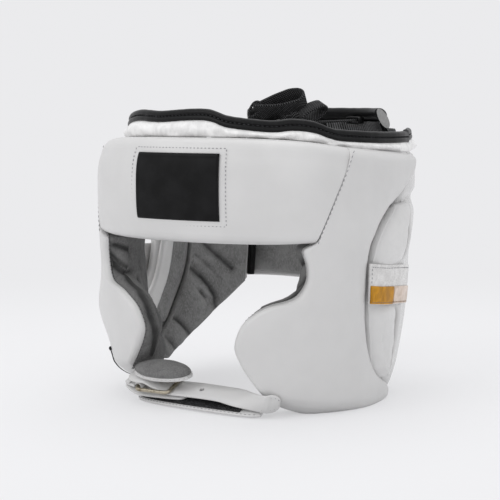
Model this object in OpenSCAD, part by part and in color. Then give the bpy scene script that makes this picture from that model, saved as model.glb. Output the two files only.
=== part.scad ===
// Boxing headguard with brow, cheek and rear wing pads, an ear roll behind each ear opening,
// a padded rear closure, a laced crown and a buckled chin strap.
// Millimetres. The floor is z = 0, the face looks along -Y and the wearer's left is +X.

/* [Head form] */
// Half of the outer width at the widest height
half_w = 108; // [98:1:118]
// Reach of the brow ahead of the ear line
front_reach = 103; // [93:1:113]
// Reach of the back behind the ear line
rear_reach = 132; // [122:1:142]
// Plan exponent, where 2 is an ellipse and more is squarer
plan_power = 2.25; // [2.1:0.05:2.5]
// Height of the widest plan
widest_z = 150; // [144:1:156]
// How far the bottom of the right side sits above the left side's
right_raise = 14; // [6:1:18]

/* [Brow and cheeks] */
// Height of the brow pad's lower edge
brow_z = 115; // [107:1:123]
// Height of the brow pad
brow_h = 66; // [60:1:72]
// Thickness of the brow pad with its lining
brow_t = 25; // [21:1:28]
// Thickness of the cheek pads with their lining
cheek_t = 24; // [20:1:27]
// Thickness of the suede lining
lining_t = 1.8; // [1.4:0.1:2.2]
// Rise of the lining's stuffed channels
lining_puff = 2.2; // [1:0.2:3]
// Rounding of the free leather edges
edge_r = 9; // [7:0.5:10]
// Rounding of the cheek pads' bottoms
bottom_r = 14; // [10:1:16]
// Rounding of the leather where the lining wraps the edge
face_r = 4.5; // [3.5:0.5:5.5]
// Rounding along a sewn seam
seam_r = 2.6; // [2:0.2:3.4]
// Gap left between two sewn panels
seam_gap = 0.4; // [0.3:0.1:0.6]

/* [Rear wings] */
// Thickness of the wing pads with their lining
wing_t = 16; // [14:0.5:18]
// How far the wing pads are set in from the cheek face
wing_set = 5; // [4.6:0.2:6]
// Rounding of the wing pads' free edges
wing_r = 5; // [4:0.5:6]
// Thickness of the ear rolls
roll_t = 18; // [15:0.5:20]
// Rounding of the ear rolls
roll_r = 6.5; // [5:0.5:7]
// How far the ear rolls are set in from the cheek face
roll_set = 4; // [3.4:0.2:5]
// Width of the wing's edge binding
edge_band = 7; // [5:0.5:9]

/* [Rear closure] */
// Height of the closure's lower edge
closure_z = 68; // [64:1:72]
// Height of the closure
closure_h = 56; // [50:1:58]
// Thickness of the padded part of the closure
closure_t = 13; // [11:0.5:15]
// Thickness of a hook or loop tape
tape_t = 0.8; // [0.6:0.1:1.2]
// Gap between the hook and the loop tape when closed
tape_gap = 0.4; // [0.3:0.1:0.6]

/* [Crown] */
// Depth of the collar wall from the outer face
collar_in = 18; // [16:0.5:19]
// Depth of the collar wall at its ends, over the ears
collar_side_in = 6; // [5:0.5:9]
// Thickness of the collar leather
collar_t = 2; // [1.6:0.2:2.4]
// Half height of the double piping on the collar
piping_h = 4.6; // [4:0.2:5]
// Rise of the rear crown flap above the wings
flap_rise = 20; // [16:1:24]
// Radius of the roll along the rear crown flap
crown_roll_r = 4.6; // [4:0.2:5.2]
// Width of the lace
lace_w = 9; // [7:0.5:11]
// Thickness of the lace
lace_t = 1.6; // [1.2:0.2:2]

/* [Patch and ear tabs] */
// Width of the forehead patch in degrees of plan
patch_deg = 29; // [24:1:32]
// Height of the forehead patch
patch_h = 43; // [36:1:46]
// Thickness of the patch
patch_t = 0.8; // [0.6:0.1:1.2]
// Height of the ear tabs
tab_h = 27; // [24:1:30]
// Thickness of the ear tabs
tab_t = 1.6; // [1.2:0.1:2]
// Share of the tab's height that its label strip covers
label_share = 0.46; // [0.4:0.02:0.5]

/* [Chin] */
// Width of the chin strap
strap_w = 17; // [15:0.5:18]
// Thickness of the chin strap
strap_t = 2; // [1.6:0.1:2.4]
// Tilt of the chin pieces toward the front, degrees
chin_tilt = 22; // [18:1:26]
// Wire radius of the buckle frame
wire_r = 1.3; // [1.1:0.1:1.5]
// Length of the buckle between its end bars
buckle_l = 26; // [24:1:28]
// Width of the buckle between its side bars
buckle_w = 21; // [20:0.5:24]
// Radius of the prong
prong_r = 1; // [0.8:0.1:1.1]
// Diameter of the punched holes
hole_d = 3.4; // [3:0.2:4]
// Spacing of the punched holes
hole_pitch = 17; // [15:1:19]
// Length of the chin cushion
cushion_l = 46; // [40:1:50]
// Width of the chin cushion
cushion_w = 27; // [24:1:30]
// Rise of the chin cushion above its leather base
cushion_h = 6; // [5:0.5:8]
// Clearance between neighbouring loose pieces
seat = 0.3; // [0.3:0.05:0.4]

/* [Hidden] */
$fn = 32;

white = [0.88, 0.88, 0.89];
grey = [0.52, 0.53, 0.55];
black = [0.1, 0.1, 0.11];
gold = [0.76, 0.56, 0.15];
steel = [0.62, 0.6, 0.56];

// Plan of the head form. Angles run from the front, and are positive toward the wearer's left.
plan_y = -10.4;

// Share of the full reach at a height, for a drawn-in neck and a rounded crown
function reach(z, a, b, c) =
  let (u = max(widest_z - z, 0) / widest_z, v = max(z - widest_z, 0) / 70)
  1 - a * u * u - b * u * u * u - c * v * v;

function fold(v) = sign(v) * pow(abs(v), 2 / plan_power);

// Point on the form at an angle, a height and a depth under the outer face
function form(th, z, d) = [
  (half_w * reach(z, 0.019, 0.101, 0.111) - d) * fold(sin(th)),
  plan_y - (cos(th) > 0
    ? front_reach * reach(z, 0.311, -0.171, 0.107) - d
    : rear_reach * reach(z, 0.4, -0.2, 0.136) - d) * fold(cos(th)),
  z];

// The same point on one side of the head, with the right side's raised bottom
function side_pt(side, th, z, d) =
  let (zz = z + (side < 0 ? right_raise * max(0, 1 - z / brow_z) : 0), p = form(th, zz, d))
  [side * p[0], p[1], p[2]];

// Height as a share of the cheek's height, and as a share of the brow's height above it
function ck(v) = v * brow_z;
function bw(v) = brow_z + v * brow_h;

// Smooth curve through the rows of a list, read at a running place along it
function curve(a, b, c, d, t) =
  0.5 * (2 * b + (c - a) * t + (2 * a - 5 * b + 4 * c - d) * t * t + (3 * b - a - 3 * c + d) * t * t * t);
function at(rows, u) =
  let (n = len(rows), i = min(floor(u), n - 2))
  curve(rows[max(i - 1, 0)], rows[i], rows[i + 1], rows[min(i + 2, n - 1)], u - i);

// Closed solid lofted through rings of points, whichever way round they run
module loft(rings, closed = false) {
  n = len(rings[0]);
  m = len(rings);
  pts = [for (r = rings, p = r) p];
  walls = [for (j = [0 : m - (closed ? 1 : 2)], i = [0 : n - 1])
    let (a = j * n + i, b = j * n + (i + 1) % n, k = (j + 1) % m, c = k * n + i, d = k * n + (i + 1) % n)
    each [[a, b, d], [a, d, c]]];
  caps = closed ? [] : concat([for (f = zip(n)) [f[1], f[0], f[2]]], [for (f = zip(n)) f + (m - 1) * n * [1, 1, 1]]);
  faces = concat(walls, caps);
  turn = volume(pts, faces) > 0;
  polyhedron(points = pts, faces = turn ? [for (f = faces) [f[2], f[1], f[0]]] : faces, convexity = 8);
}
// A ring closed across, each point joined to the one facing it
function zip(n) = [for (i = [0 : floor((n - 1) / 2) - 1]) let (j = n - 1 - i)
  each concat([[i, i + 1, j]], i + 1 < j - 1 ? [[i + 1, j - 1, j]] : [])];
function sum(v) = v * [for (i = v) 1];
function volume(pts, faces) = sum([for (f = faces) pts[f[0]] * cross(pts[f[1]], pts[f[2]])]);

// A panel is a stack of slices. Each row is one slice:
// [first angle, first height, last angle, last height, bow, first rounding, last rounding, depth, last depth]
function slice_len(k) = norm([(k[2] - k[0]) * PI / 180 * 0.95 * half_w, k[3] - k[1]]);
function slice_pt(side, k, f, d) =
  side_pt(side, k[0] + f * (k[2] - k[0]), k[1] + f * (k[3] - k[1]) - 4 * k[4] * f * (1 - f),
    k[7] + f * (k[8] - k[7]) + d);

// Section of a stuffed pad: crowned face, rounded free edges, flat back.
// With a lip, the first edge is set back behind the leather's fold for the lining to wrap round.
back_r = 3;
lip_in = lining_t + seat;
end_lip = 0.45;
function pad_ring(side, k, t, n, end, lip = 0) =
  let (l = slice_len(k), ra = k[5], rb = k[6], q = min(back_r, t / 4),
    first = [[0, lip > 0 ? ra + 0.3 : min(ra, t - q - 1)]],
    last = lip > 0 ? [[lip * lip_in, t - q], [lip * lip_in, ra + 1, 0.7]] : [[0, t - q]],
    face = [for (i = [0 : n + 1]) let (v = i / (n + 1))
      [ra + v * (l - ra - rb), 0.2 * (v < 0.5 ? ra : rb) * pow(2 * v - 1, 4)]],
    back = [for (i = [n + 1 : -1 : 0]) let (v = i / (n + 1)) [q + v * (l - 2 * q), t]],
    ring = concat(first, [[0.29 * ra, 0.29 * ra]], face,
      [[l - 0.29 * rb, 0.29 * rb], [l, min(rb, t - q - 1)], [l, t - q]], back, last))
  [for (p = ring) slice_pt(side, k, p[0] / l, max(min(p[1], t - 0.35 * end), end + (len(p) > 2 ? p[2] : 0)))];

// Section of a plain sheet, with stuffed channels on its inner side where asked
function sheet_ring(side, k, inset, t, n, puff, channels) =
  let (l = slice_len(k), f0 = inset / l)
  concat(
    [for (i = [0 : n]) slice_pt(side, k, f0 + i / n * (1 - 2 * f0), 0)],
    [for (i = [n : -1 : 0]) slice_pt(side, k, f0 + i / n * (1 - 2 * f0),
      t + puff * pow(abs(sin(180 * channels * i / n)), 0.7))]);

// Section of a lining that also wraps the first edge, up to the leather's fold
function wrap_ring(side, k, t, n, puff, channels) =
  let (l = slice_len(k), e = 3, d0 = k[5] + 1 + seat, lt = lining_t, w = l - 2 * e,
    x0 = 0.5 * lt * min(max((face_r - k[5]) / (face_r - seam_r), 0), 1),
    inner = [for (i = [0 : n]) [e + i / n * w, t + puff * pow(abs(sin(180 * channels * i / n)), 0.7)]],
    outer = [for (i = [n : -1 : 0]) [e + i / n * w, t - lt]],
    ring = concat([[x0, d0], [x0, t - e]], inner, outer, [[lt, t - lt - 1], [lt, d0]]))
  [for (p = ring) slice_pt(side, k, p[0] / l, p[1])];

// Places along a panel: extra ones next to both ends, where the edge rolls over
function places(m, step, near) =
  concat(near, [for (u = [1 : step : m - 1 + step / 4]) u], [for (i = [len(near) - 1 : -1 : 0]) m - near[i]]);

// How deep the rolled edge lies at a distance from the end, for a round of the given radius
function round_in(h, r) = h >= r ? 0 : r - sqrt(r * r - (r - h) * (r - h));
function roll_in(side, rows, u, ra, rb) =
  let (m = len(rows) - 1, p = slice_pt(side, at(rows, u), 0.5, 0))
  max(round_in(norm(p - slice_pt(side, rows[0], 0.5, 0)), ra),
    round_in(norm(p - slice_pt(side, rows[m], 0.5, 0)), rb));

// Stuffed pad and its lining from the same rows
module pad(side, rows, t, n, step, near, ra, rb, lip = 0) {
  m = len(rows) - 1;
  loft([for (u = places(m, step, near))
    pad_ring(side, at(rows, u), t, n, roll_in(side, rows, u, ra, rb), lip * (u == 0 || u == m ? end_lip : 1))]);
}
module lining(side, rows, depth, n, channels, step = 0.5, lo = 0.2, hi = 0.2) {
  m = len(rows) - 1;
  inner = [for (r = rows) [r[0], r[1], r[2], r[3], r[4], r[5], r[6], r[7] + depth, r[8] + depth]];
  us = concat([lo, 0.5 + lo], [for (u = [1 : step : m - 0.6]) u], [m - hi]);
  loft([for (u = us) sheet_ring(side, at(inner, u), 3, lining_t,  n,
    lining_puff * (u <= lo || u >= m - hi ? 0.2 : 1), channels)]);
}
module wrap_lining(side, rows, t, n, channels, step = 0.5, lo = 0.3, hi = 0.3) {
  m = len(rows) - 1;
  us = concat([lo, 0.5 + lo], [for (u = [1 : step : m - 0.6]) u], [m - hi]);
  loft([for (u = us) wrap_ring(side, at(rows, u), t, n, lining_puff * (u <= lo || u >= m - hi ? 0.2 : 1), channels)]);
}
module sheet(side, rows, t, n, step = 1) {
  m = len(rows) - 1;
  loft([for (u = [0 : step : m]) sheet_ring(side, at(rows, u), 0, t, n, 0, 1)]);
}
pad_gap = lining_t + seat;

// Half of a seam's gap, in degrees of plan
sg = seam_gap / 2 / half_w * 180 / PI;

// Brow rows: vertical slices from the lower edge to the top edge
brow_side = 50.5;
brow_top = 67.5;
brow_rows = [for (v = [-1, -0.68, -0.34, 0, 0.34, 0.68, 1])
  [v * (brow_side - sg), ck(1) - 0.4 * pow(abs(v), 2), v * (brow_top - sg * 1.2), bw(1) - 6 * pow(abs(v), 3),
    0, edge_r, edge_r, 0, 0]];

// Seam from the eye opening up to the crown
function seam_th(v) = brow_side + v * (brow_top - brow_side) + sg;
function seam_z(v) = ck(1) - 1.2 + v * (brow_h - 4.8);

// Cheek rows: slices from the face side to the ear side, bottom to top
function cheek_rows(side) =
  let (f = face_r, e = edge_r, s = seam_r, low = side > 0
    ? [[105, 0.02], [105, 0.05], [101.5, 0.085], [95.5, 0.13], [90.5, 0.185], [85.5, 0.255]]
    : [[90.6, 0.018], [90.7, 0.06], [90.9, 0.115], [90.6, 0.165], [88, 0.21], [85, 0.27]])
  [
    [36, ck(0.055), low[0][0], ck(low[0][1]), 8.5, f, e, 0, 0],
    [29.5, ck(0.13), low[1][0], ck(low[1][1]), 5, f, e, 0, 0],
    [23.9, ck(0.222), low[2][0], ck(low[2][1]), 2, f, e, 0, 0],
    [19.8, ck(0.317), low[3][0], ck(low[3][1]), 0, f, e, 0, 0],
    [18, ck(0.41), low[4][0], ck(low[4][1]), 0, f, e, 0, 0],
    [21, ck(0.53), low[5][0], ck(low[5][1]), 0, f, e, 0, 0],
    [26.5, ck(0.6), 82, ck(0.335), 0, f, e, 0, 0],
    [32.2, ck(0.64), 79.6, ck(0.42), 0, f, e, 0, 0],
    [40.5, ck(0.67), 78, ck(0.52), 0, f, e, 0, 0],
    [44.8, ck(0.71), 77.2, ck(0.62), 0, f, e, 0, 0],
    [47.8, ck(0.79), 77, ck(0.745), 0, f, e, 0, 0],
    [47.6, ck(0.875), 77.4, ck(0.85), 0, f, e, 0, 0],
    [46.2, ck(0.955), 79, ck(0.955), 0, f, e, 0, 0],
    [seam_th(0.02), seam_z(0.02), 81.8, bw(0.04), 0, s, e, 0, 0],
    [seam_th(0.14), seam_z(0.14), 84.6, bw(0.15), 0, s, e, 0, 0],
    [seam_th(0.38), seam_z(0.38), 91, bw(0.31), 0, s, e, 0, 0],
    [seam_th(0.6), seam_z(0.6), 99, bw(0.45), 0, s, e, 0, 0],
    [seam_th(0.8), seam_z(0.8), 106, bw(0.65), 0, s, s, 0, 0],
    [seam_th(1), seam_z(1), 108.5, bw(0.81), 0, s, s, 0, 0]
  ];

// Wing rows: slices from behind the ear to the back of the head, bottom to top
function wing_rows(side) =
  let (w = wing_set, e = wing_r, s = seam_r, low = side > 0
    ? [[107, 0.02], [106.6, 0.065], [99, 0.135], [90, 0.24]]
    : [[91.5, 0.01], [91.8, 0.1], [91.9, 0.185], [97.5, 0.275]],
    front = side > 0 ? [95.5, 98.4, 98.6, 98.6, 98.6, 98.6, 99, 102]
      : [103, 107, 110, 111.2, 111.5, 111.5, 107.5, 103.5],
    over = side > 0 ? [0.09, 0.3] : [0.16, 0.34])
  [
    [low[0][0], ck(low[0][1]), 142, ck(0.535), side < 0 ? 5 : 0, e, e, w, w],
    [low[1][0], ck(low[1][1]), 142, ck(0.59), side < 0 ? 4 : 0, e, e, w, w],
    [low[2][0], ck(low[2][1]), 142, ck(0.65), side < 0 ? 2 : 0, e, e, w, w],
    [low[3][0], ck(low[3][1]), 142, ck(0.71), 0, e, e, w, w],
    [front[0], ck(0.41), 142, ck(0.78), 0, e, e, w, w],
    [front[1], ck(0.52), 142, ck(0.85), 0, e, e, w, w],
    [front[2], ck(0.66), 142, ck(0.93), 0, e, e, w, w],
    [front[3], ck(0.8), 142, bw(0.05), 0, e, e, w, w],
    [front[4], ck(0.92), 142, bw(0.17), 0, e, e, w, w],
    [front[5], bw(over[0]), 153, bw(0.27), 0, e, e, w, w],
    [front[6], bw(over[1]), 168, bw(0.36), 0, e, e, w, w],
    [front[7], bw(0.5), 174, bw(0.5), 0, s, e, w, w],
    [106.5 + 2 * sg, bw(0.66), 176, bw(0.66), 0, s, e, w, w],
    [108.7 + 2 * sg, bw(0.81), 176, bw(0.83), 0, s, e, w, w]
  ];

// Ear roll rows: a stuffed roll along the rear of the ear opening, set further back on the right side
function roll_rows(side) = [for (k = side > 0
  ? [[84.4, 0.39, 92.7, 0.37], [83.6, 0.46, 95.4, 0.46], [84, 0.56, 97.4, 0.56], [84.6, 0.68, 98.1, 0.68],
    [85, 0.8, 98.1, 0.8], [86.4, 0.92, 98.1, 0.92], [88.8, 1.035, 98.1, 1.035], [91.8, 1.13, 98.3, 1.13]]
  : [[87.2, 0.28, 94.6, 0.25], [86, 0.37, 99.9, 0.36], [89.3, 0.47, 104, 0.47], [92.9, 0.575, 107.5, 0.575],
    [95.5, 0.69, 109.8, 0.69], [97, 0.8, 110.7, 0.8], [98.8, 0.92, 110.9, 0.92], [101.5, 1.05, 110.4, 1.05]])
  [k[0], ck(k[1]), k[2], ck(k[3]), 0, roll_r, roll_r, roll_set, roll_set]];

module brow_pad() color(white) pad(1, brow_rows, brow_t - pad_gap, 7, 0.25, [0, 0.03, 0.1, 0.4, 0.7], seam_r, seam_r);
module brow_lining() color(grey) lining(1, brow_rows, brow_t - lining_t, 8, 1, 0.5, 0.1, 0.1);
module above_floor() intersection() {
  children();
  translate([-2 * half_w, -2 * half_w, 0]) cube([4 * half_w, 4 * half_w, 3 * half_w]);
}
module cheek_pad(side) color(white) above_floor()
  pad(side, cheek_rows(side), cheek_t - pad_gap, 5, 0.5, [0, 0.1, 0.3, 0.6], bottom_r, edge_r, 1);
module cheek_lining(side) color(grey) above_floor() wrap_lining(side, cheek_rows(side), cheek_t, 6, 2, 0.5, 0.36);
module wing_pad(side) color(white)
  pad(side, wing_rows(side), wing_t - pad_gap, 6, 0.5, [0, 0.2, 0.5], wing_r, wing_r);
module wing_lining(side)
  color(grey) lining(side, wing_rows(side), wing_t - lining_t + seat, 12, 3, 1, 0.3, 0.3);
module ear_roll(side) color(white)
  pad(side, roll_rows(side), roll_t / 2, 2, 0.5, [0, 0.12, 0.4], roll_r, roll_r);
function roll_back(k) = [k[0], k[1], k[2], k[3], 0, 0, 0, k[7] + roll_t / 2 + seat, k[8] + roll_t / 2 + seat];
module roll_lining(side) {
  rows = [for (k = roll_rows(side)) roll_back(k)];
  m = len(rows) - 1;
  color(grey) loft([for (u = places(m, 0.5, [0, 0.12, 0.4]))
    let (k = at(rows, u), h = (u == 0 || u == m ? 0.4 : u < 0.2 || u > m - 0.2 ? 0.75 : 1) * (roll_t / 2 - seat))
    [for (q = [[0, 0], [0, 0.4], [0.1, 0.75], [0.3, 0.96], [0.5, 1], [0.7, 0.96], [0.9, 0.75], [1, 0.4], [1, 0]])
      slice_pt(side, k, q[0], q[1] * h)]]);
}

// Ear tab: a flat strap over the ear opening and the roll, with a label strip on its lower part
tab_z = ck(0.628);
tab_a = 75.8;
function tab_b(side) = side > 0 ? 104.5 : 116;
tab_drop = ck(0.06);
function tab_place(side, v) = tab_a + v * (tab_b(side) - tab_a);
function tab_d(v) = 0.6 + v * (wing_set - tab_t - seat - 1.1);
function tab_rows(side, h, a, b, lift) = [for (v = [0, 0.5, 1])
  [tab_place(side, a), tab_z + v * h - a * tab_drop, tab_place(side, b), tab_z + v * h - b * tab_drop, 0, 0, 0,
    tab_d(a) - lift, tab_d(b) - lift]];
tab_split = 0.6;
module ear_tab(side) color(white) sheet(side, tab_rows(side, tab_h, 0, 1, 0), tab_t, 10);
module tab_label(side) color(gold)
  sheet(side, tab_rows(side, label_share * tab_h, 0, tab_split, patch_t + seat), patch_t, 6);
module tab_window(side) color([0.9, 0.8, 0.74])
  sheet(side, tab_rows(side, label_share * tab_h, tab_split + 0.01, 1, patch_t + seat), patch_t, 5);

// Forehead patch, bare, sewn on the brow's face
patch_th = 0.5;
patch_z = bw(0.205);
function brow_face(z) = let (v = (z - ck(1) - edge_r) / (brow_h - 2 * edge_r)) 0.2 * edge_r * pow(2 * v - 1, 4);
patch_rows = [for (v = [0 : 0.125 : 1]) let (z = patch_z + v * patch_h, d = brow_face(z) - patch_t - 2.2 * seat)
  [patch_th - patch_deg / 2, z, patch_th + patch_deg / 2, z, 0, 0, 0, d, d]];
module front_patch() color(black) sheet(1, patch_rows, patch_t, 10);

// Bound rear edge of the right wing
band_deg = edge_band / (0.9 * rear_reach) * 180 / PI;
wing_end = 142;
band_rows = [for (v = [0, 0.25, 0.5, 0.75, 1])
  [wing_end + 0.25, ck(0.56 + 0.4 * v), wing_end + 0.25 + band_deg, ck(0.56 + 0.4 * v), 0, 1, 1,
    wing_set + 3, wing_set + 3]];
module right_wing_binding() color(black) pad(-1, band_rows, wing_t - 4, 2, 1, [0, 0.1], 1, 1);

// Rear closure: padded, rooted on the left wing, its end laid over the outside of the right wing
closure_root = wing_end + 0.45;
closure_end = 232;
lap_start = 212;
lap_d = wing_set - 2 * tape_t - tape_gap - 3 * seat;
lap_t = 6;
function closure_row(th) =
  let (w = min(max((th - 188) / (lap_start - 188), 0), 1), s = w * w * (3 - 2 * w), e = 5 - 2.2 * s,
    taper = 5 * max(0, (th - 222) / (closure_end - 222)),
    d = wing_set * (1 - s) + (lap_d - lap_t) * s)
  [th, closure_z + taper, th, closure_z + closure_h - taper, 0, e, e, d, d];
function closure_thick(th) =
  let (w = min(max((th - 188) / (lap_start - 188), 0), 1)) (closure_t - pad_gap) * (1 - w) + lap_t * w;
closure_ths = [closure_root, 143.2, 145, 150, 156, 162, 168, 174, 180, 186, 191, 195, 199, 203, 207, 211,
  215, 219, 223, 227, 230, 231.3, closure_end];
module closure_pad() color(white)
  loft([for (th = closure_ths) pad_ring(1, closure_row(th), closure_thick(th), 4,
    th == closure_root ? 3 : th == 143.2 ? 1 : th == closure_end ? 2.4 : th == 231.3 ? 0.8 : 0)]);
module closure_lining() color(grey)
  loft([for (th = [145 : 6 : 211]) let (k = closure_row(th), d = closure_thick(th) + seat)
    sheet_ring(1, [k[0], k[1], k[2], k[3], 0, 0, 0, k[7] + d, k[8] + d], 3, lining_t, 9,
      lining_puff * (th == 145 || th > 205 ? 0.2 : 1), 3)]);
tape_margin = 7;
function tape_rows(d) = [for (th = [216 : 3.5 : 230])
  [th, closure_z + tape_margin, th, closure_z + closure_h - tape_margin, 0, 0, 0, d, d]];
module closure_hook_tape() color(black) sheet(1, tape_rows(lap_d + seat), tape_t, 4);
module closure_loop_tape() color(black) sheet(1, tape_rows(wing_set - seat - tape_t), tape_t, 4);

// Crown collar: low leather wall inside the top of the pads, with a double piped edge
function top_edge(th) = let (a = abs(th))
  a < brow_top ? bw(1) - 6 * pow(a / brow_top, 3)
    : a < 110 ? bw(0.909) - (a - brow_top) / (110 - brow_top) * 0.099 * brow_h : bw(0.83);
collar_line = [[-121.5, 0.13], [-100, 0.16], [-76, 0.15], [-54, 0.2], [-34, 0.22], [-16, 0.2], [4.5, 0.22],
  [16, 0.15], [34, 0.11], [45, 0.14], [55.5, 0.19], [64, 0.15], [72, 0.13], [92, 0.14], [107, 0.16],
  [121.5, 0.16]];
function collar_top(p) = top_edge(p[0]) + p[1] * brow_h;
function collar_d(th) = let (v = min(max((abs(th) - 68) / 36, 0), 1))
  collar_in + (collar_side_in - collar_in) * v * v * (3 - 2 * v);
collar_us = [0 : 0.4 : len(collar_line) - 1];
function collar_ring(p, i) =
  let (th = p[0], z0 = top_edge(th) + seat, z1 = collar_top(p) - piping_h - seat, zm = (z0 + z1) / 2,
    b = 1.2 + 0.9 * sin(i * 137), d = collar_d(th), e = d + collar_t)
  [form(th, z0, d), form(th, zm, d - b), form(th, z1, d), form(th, z1, e), form(th, zm, e - b), form(th, z0, e)];
module crown_collar() color(white) loft([for (u = collar_us) collar_ring(at(collar_line, u), u / 0.4)]);
function piping_ring(p) =
  let (th = p[0], z = collar_top(p), h = piping_h, d = collar_d(th) + collar_t / 2, r = 0.6 * piping_h)
  [for (q = [[-0.6, -1], [-1, -0.55], [-0.7, 0], [-1, 0.55], [-0.6, 1], [0.6, 1], [1, 0.55], [0.7, 0], [1, -0.55],
    [0.6, -1]]) form(th, z + q[1] * h, d + q[0] * r)];
module crown_binding() color(black) loft([for (u = collar_us) piping_ring(at(collar_line, u))]);

// Rear crown flap: a black leather wall above the wings, rolled along its top
flap_a = 140;
wing_top = bw(0.83);
function flap_ring(th) = let (z0 = wing_top + seat, z1 = wing_top + flap_rise, d = wing_set + wing_t / 2)
  [form(th, z0, d), form(th, (z0 + z1) / 2, d + 1), form(th, z1, d + 5),
    form(th, z1, d + 5 + collar_t), form(th, (z0 + z1) / 2, d + 1 + collar_t), form(th, z0, d + collar_t)];
module rear_crown_flap() color(black) loft([for (th = [flap_a : 5 : 360 - flap_a]) flap_ring(th)]);
module rear_crown_binding() color(black)
  loft([for (th = [flap_a : 5 : 360 - flap_a]) let (z = wing_top + flap_rise + crown_roll_r + seat,
    d = wing_set + wing_t / 2 + 5 + collar_t / 2)
    [for (a = [0 : 36 : 324]) form(th, z + crown_roll_r * sin(a), d - crown_roll_r * cos(a))]]);

// Elastic between the collar's end and the rear crown flap, ribbed
function elastic_ring(side, th, i) = let (z0 = wing_top + seat, z1 = wing_top + 0.75 * flap_rise,
    d = wing_set + wing_t / 2 + 1, r = i % 2 == 0 ? 0 : 0.5)
  [side_pt(side, th, z0, d - r), side_pt(side, th, z1, d + 2 - r), side_pt(side, th, z1, d + 3.2 + r),
    side_pt(side, th, z0, d + 1.2 + r)];
module crown_elastic(side) color(black)
  loft([for (i = [0 : 24]) elastic_ring(side, 122.2 + i * (flap_a - 0.4 - 122.2) / 24, i)]);

// Flat ribbon along a route: each stop is [point, half width vector]
function ribbon_ring(stops, j, t) =
  let (n = len(stops), a = stops[max(j - 1, 0)][0], b = stops[min(j + 1, n - 1)][0], w = stops[j][1],
    nn = cross(b - a, w), up = nn / norm(nn) * t / 2, p = stops[j][0])
  [p - w + up, p + w + up, p + w - up, p - w - up];
module ribbon(stops, t) loft([for (j = [0 : len(stops) - 1]) ribbon_ring(stops, j, t)]);
function smooth(rows, k) = [for (u = [0 : 1 / k : len(rows) - 1 + 0.001]) at(rows, min(u, len(rows) - 1))];

// Crown lace: crosses the opening between loops sewn inside the collar and the rear flap
lace_z = 190;
loop_deep = 5;
front_loop = collar_in + collar_t / 2 + 0.6 * piping_h + seat + loop_deep / 2 + 0.6;
rear_loop = wing_set + wing_t / 2 + 5 + collar_t / 2 + crown_roll_r + seat + loop_deep / 2 + 0.5;
function eye(th) = form(th, lace_z, abs(th) < 90 ? front_loop : rear_loop);
function eye_turn(th) = let (d = form(th + 1, lace_z, front_loop) - form(th - 1, lace_z, front_loop)) atan2(d[1], d[0]);
module lace_run(a, b) {
  u = (b - a) / norm(b - a);
  w = cross([0, 0, 1], u) * lace_w / 2;
  ribbon([[a, w], [(a + b) / 2 - [0, 0, 1.5], w], [b, w]], lace_t);
}
module crown_lace() color(black) {
  lace_run(eye(-24), eye(160));
  lace_run(eye(24), eye(200));
}
module lace_loops() color(black)
  for (th = [-24, 24, 160, 200]) {
    translate(eye(th)) rotate([0, 0, eye_turn(th)]) difference() {
      cube([lace_w + 7, loop_deep, 6], center = true);
      cube([lace_w + 4, loop_deep + 3, lace_t + 1.4], center = true);
    }
  }
knot_p = [2, 34.6, lace_z + 3.8];
knot_l = 18;
module lace_knot() color(black) translate(knot_p) rotate([0, 90, 15]) rotate_extrude()
  translate([0, -knot_l / 2]) polygon([[0, 0], [2.2, 0], [3.4, 2], [3.8, knot_l / 2], [3.4, knot_l - 2],
    [2.2, knot_l], [0, knot_l]]);
// One loop of the bow: a long round that leans in the plane across the head
function bow_stop(a, c, long, short, lean) =
  let (u = long * cos(a), v = short * sin(a))
  [c + [u * cos(lean) - v * sin(lean), 2 * sin(a / 2), u * sin(lean) + v * cos(lean)],
    [0.8, 0.62 * lace_w, 0.6]];
module bow_loop(c, long, short, lean, from, to)
  ribbon([for (i = [0 : 28]) bow_stop(from + i * (to - from) / 28, c, long, short, lean)], lace_t);
module lace_bow() color(black) {
  bow_loop(knot_p + [-7, -3, 11], 19, 6, 25, 215, 555);
  bow_loop(knot_p + [20.2, 7, 5.4], 10, 4, 24, 215, 555);
}

// Chin pieces lie in one tilted frame in front of the throat
chin_p = [0, -84.4, 12];
module chin_frame() translate(chin_p) rotate([chin_tilt, 0, 0]) children();
heel_x = -44;
tip_x = heel_x + buckle_l;
bar_z = 3;
module bar(l) rotate([90, 0, 0]) cylinder(r = wire_r, h = l, center = true);
bend_r = 3;
module buckle_frame() color(steel) chin_frame() {
  for (x = [heel_x, tip_x]) translate([x, 0, bar_z]) bar(buckle_w - 2 * bend_r);
  for (s = [-1, 1]) {
    translate([(heel_x + tip_x) / 2, s * buckle_w / 2, bar_z]) rotate([0, 90, 0])
      cylinder(r = wire_r, h = buckle_l - 2 * bend_r, center = true);
    for (e = [0, 1]) translate([e == 0 ? heel_x + bend_r : tip_x - bend_r, s * (buckle_w / 2 - bend_r), bar_z])
      rotate([0, 0, e == 0 ? (s > 0 ? 90 : 180) : (s > 0 ? 0 : 270)])
        rotate_extrude(angle = 90) translate([bend_r, 0]) circle(r = wire_r);
  }
}
prong_eye = wire_r + seat;
prong_out = prong_eye + 1.3;
prong_rise = atan((wire_r + prong_r + seat) / buckle_l);
module buckle_prong() color(steel) chin_frame() translate([heel_x, 0, bar_z]) {
  rotate([90, 0, 0]) difference() {
    cylinder(r = prong_out, h = 3.6, center = true);
    cylinder(r = prong_eye, h = 5, center = true);
  }
  rotate([0, 90 - prong_rise, 0]) translate([0, 0, prong_eye + 0.5])
    cylinder(r = prong_r, h = buckle_l + wire_r - prong_eye);
}

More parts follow.
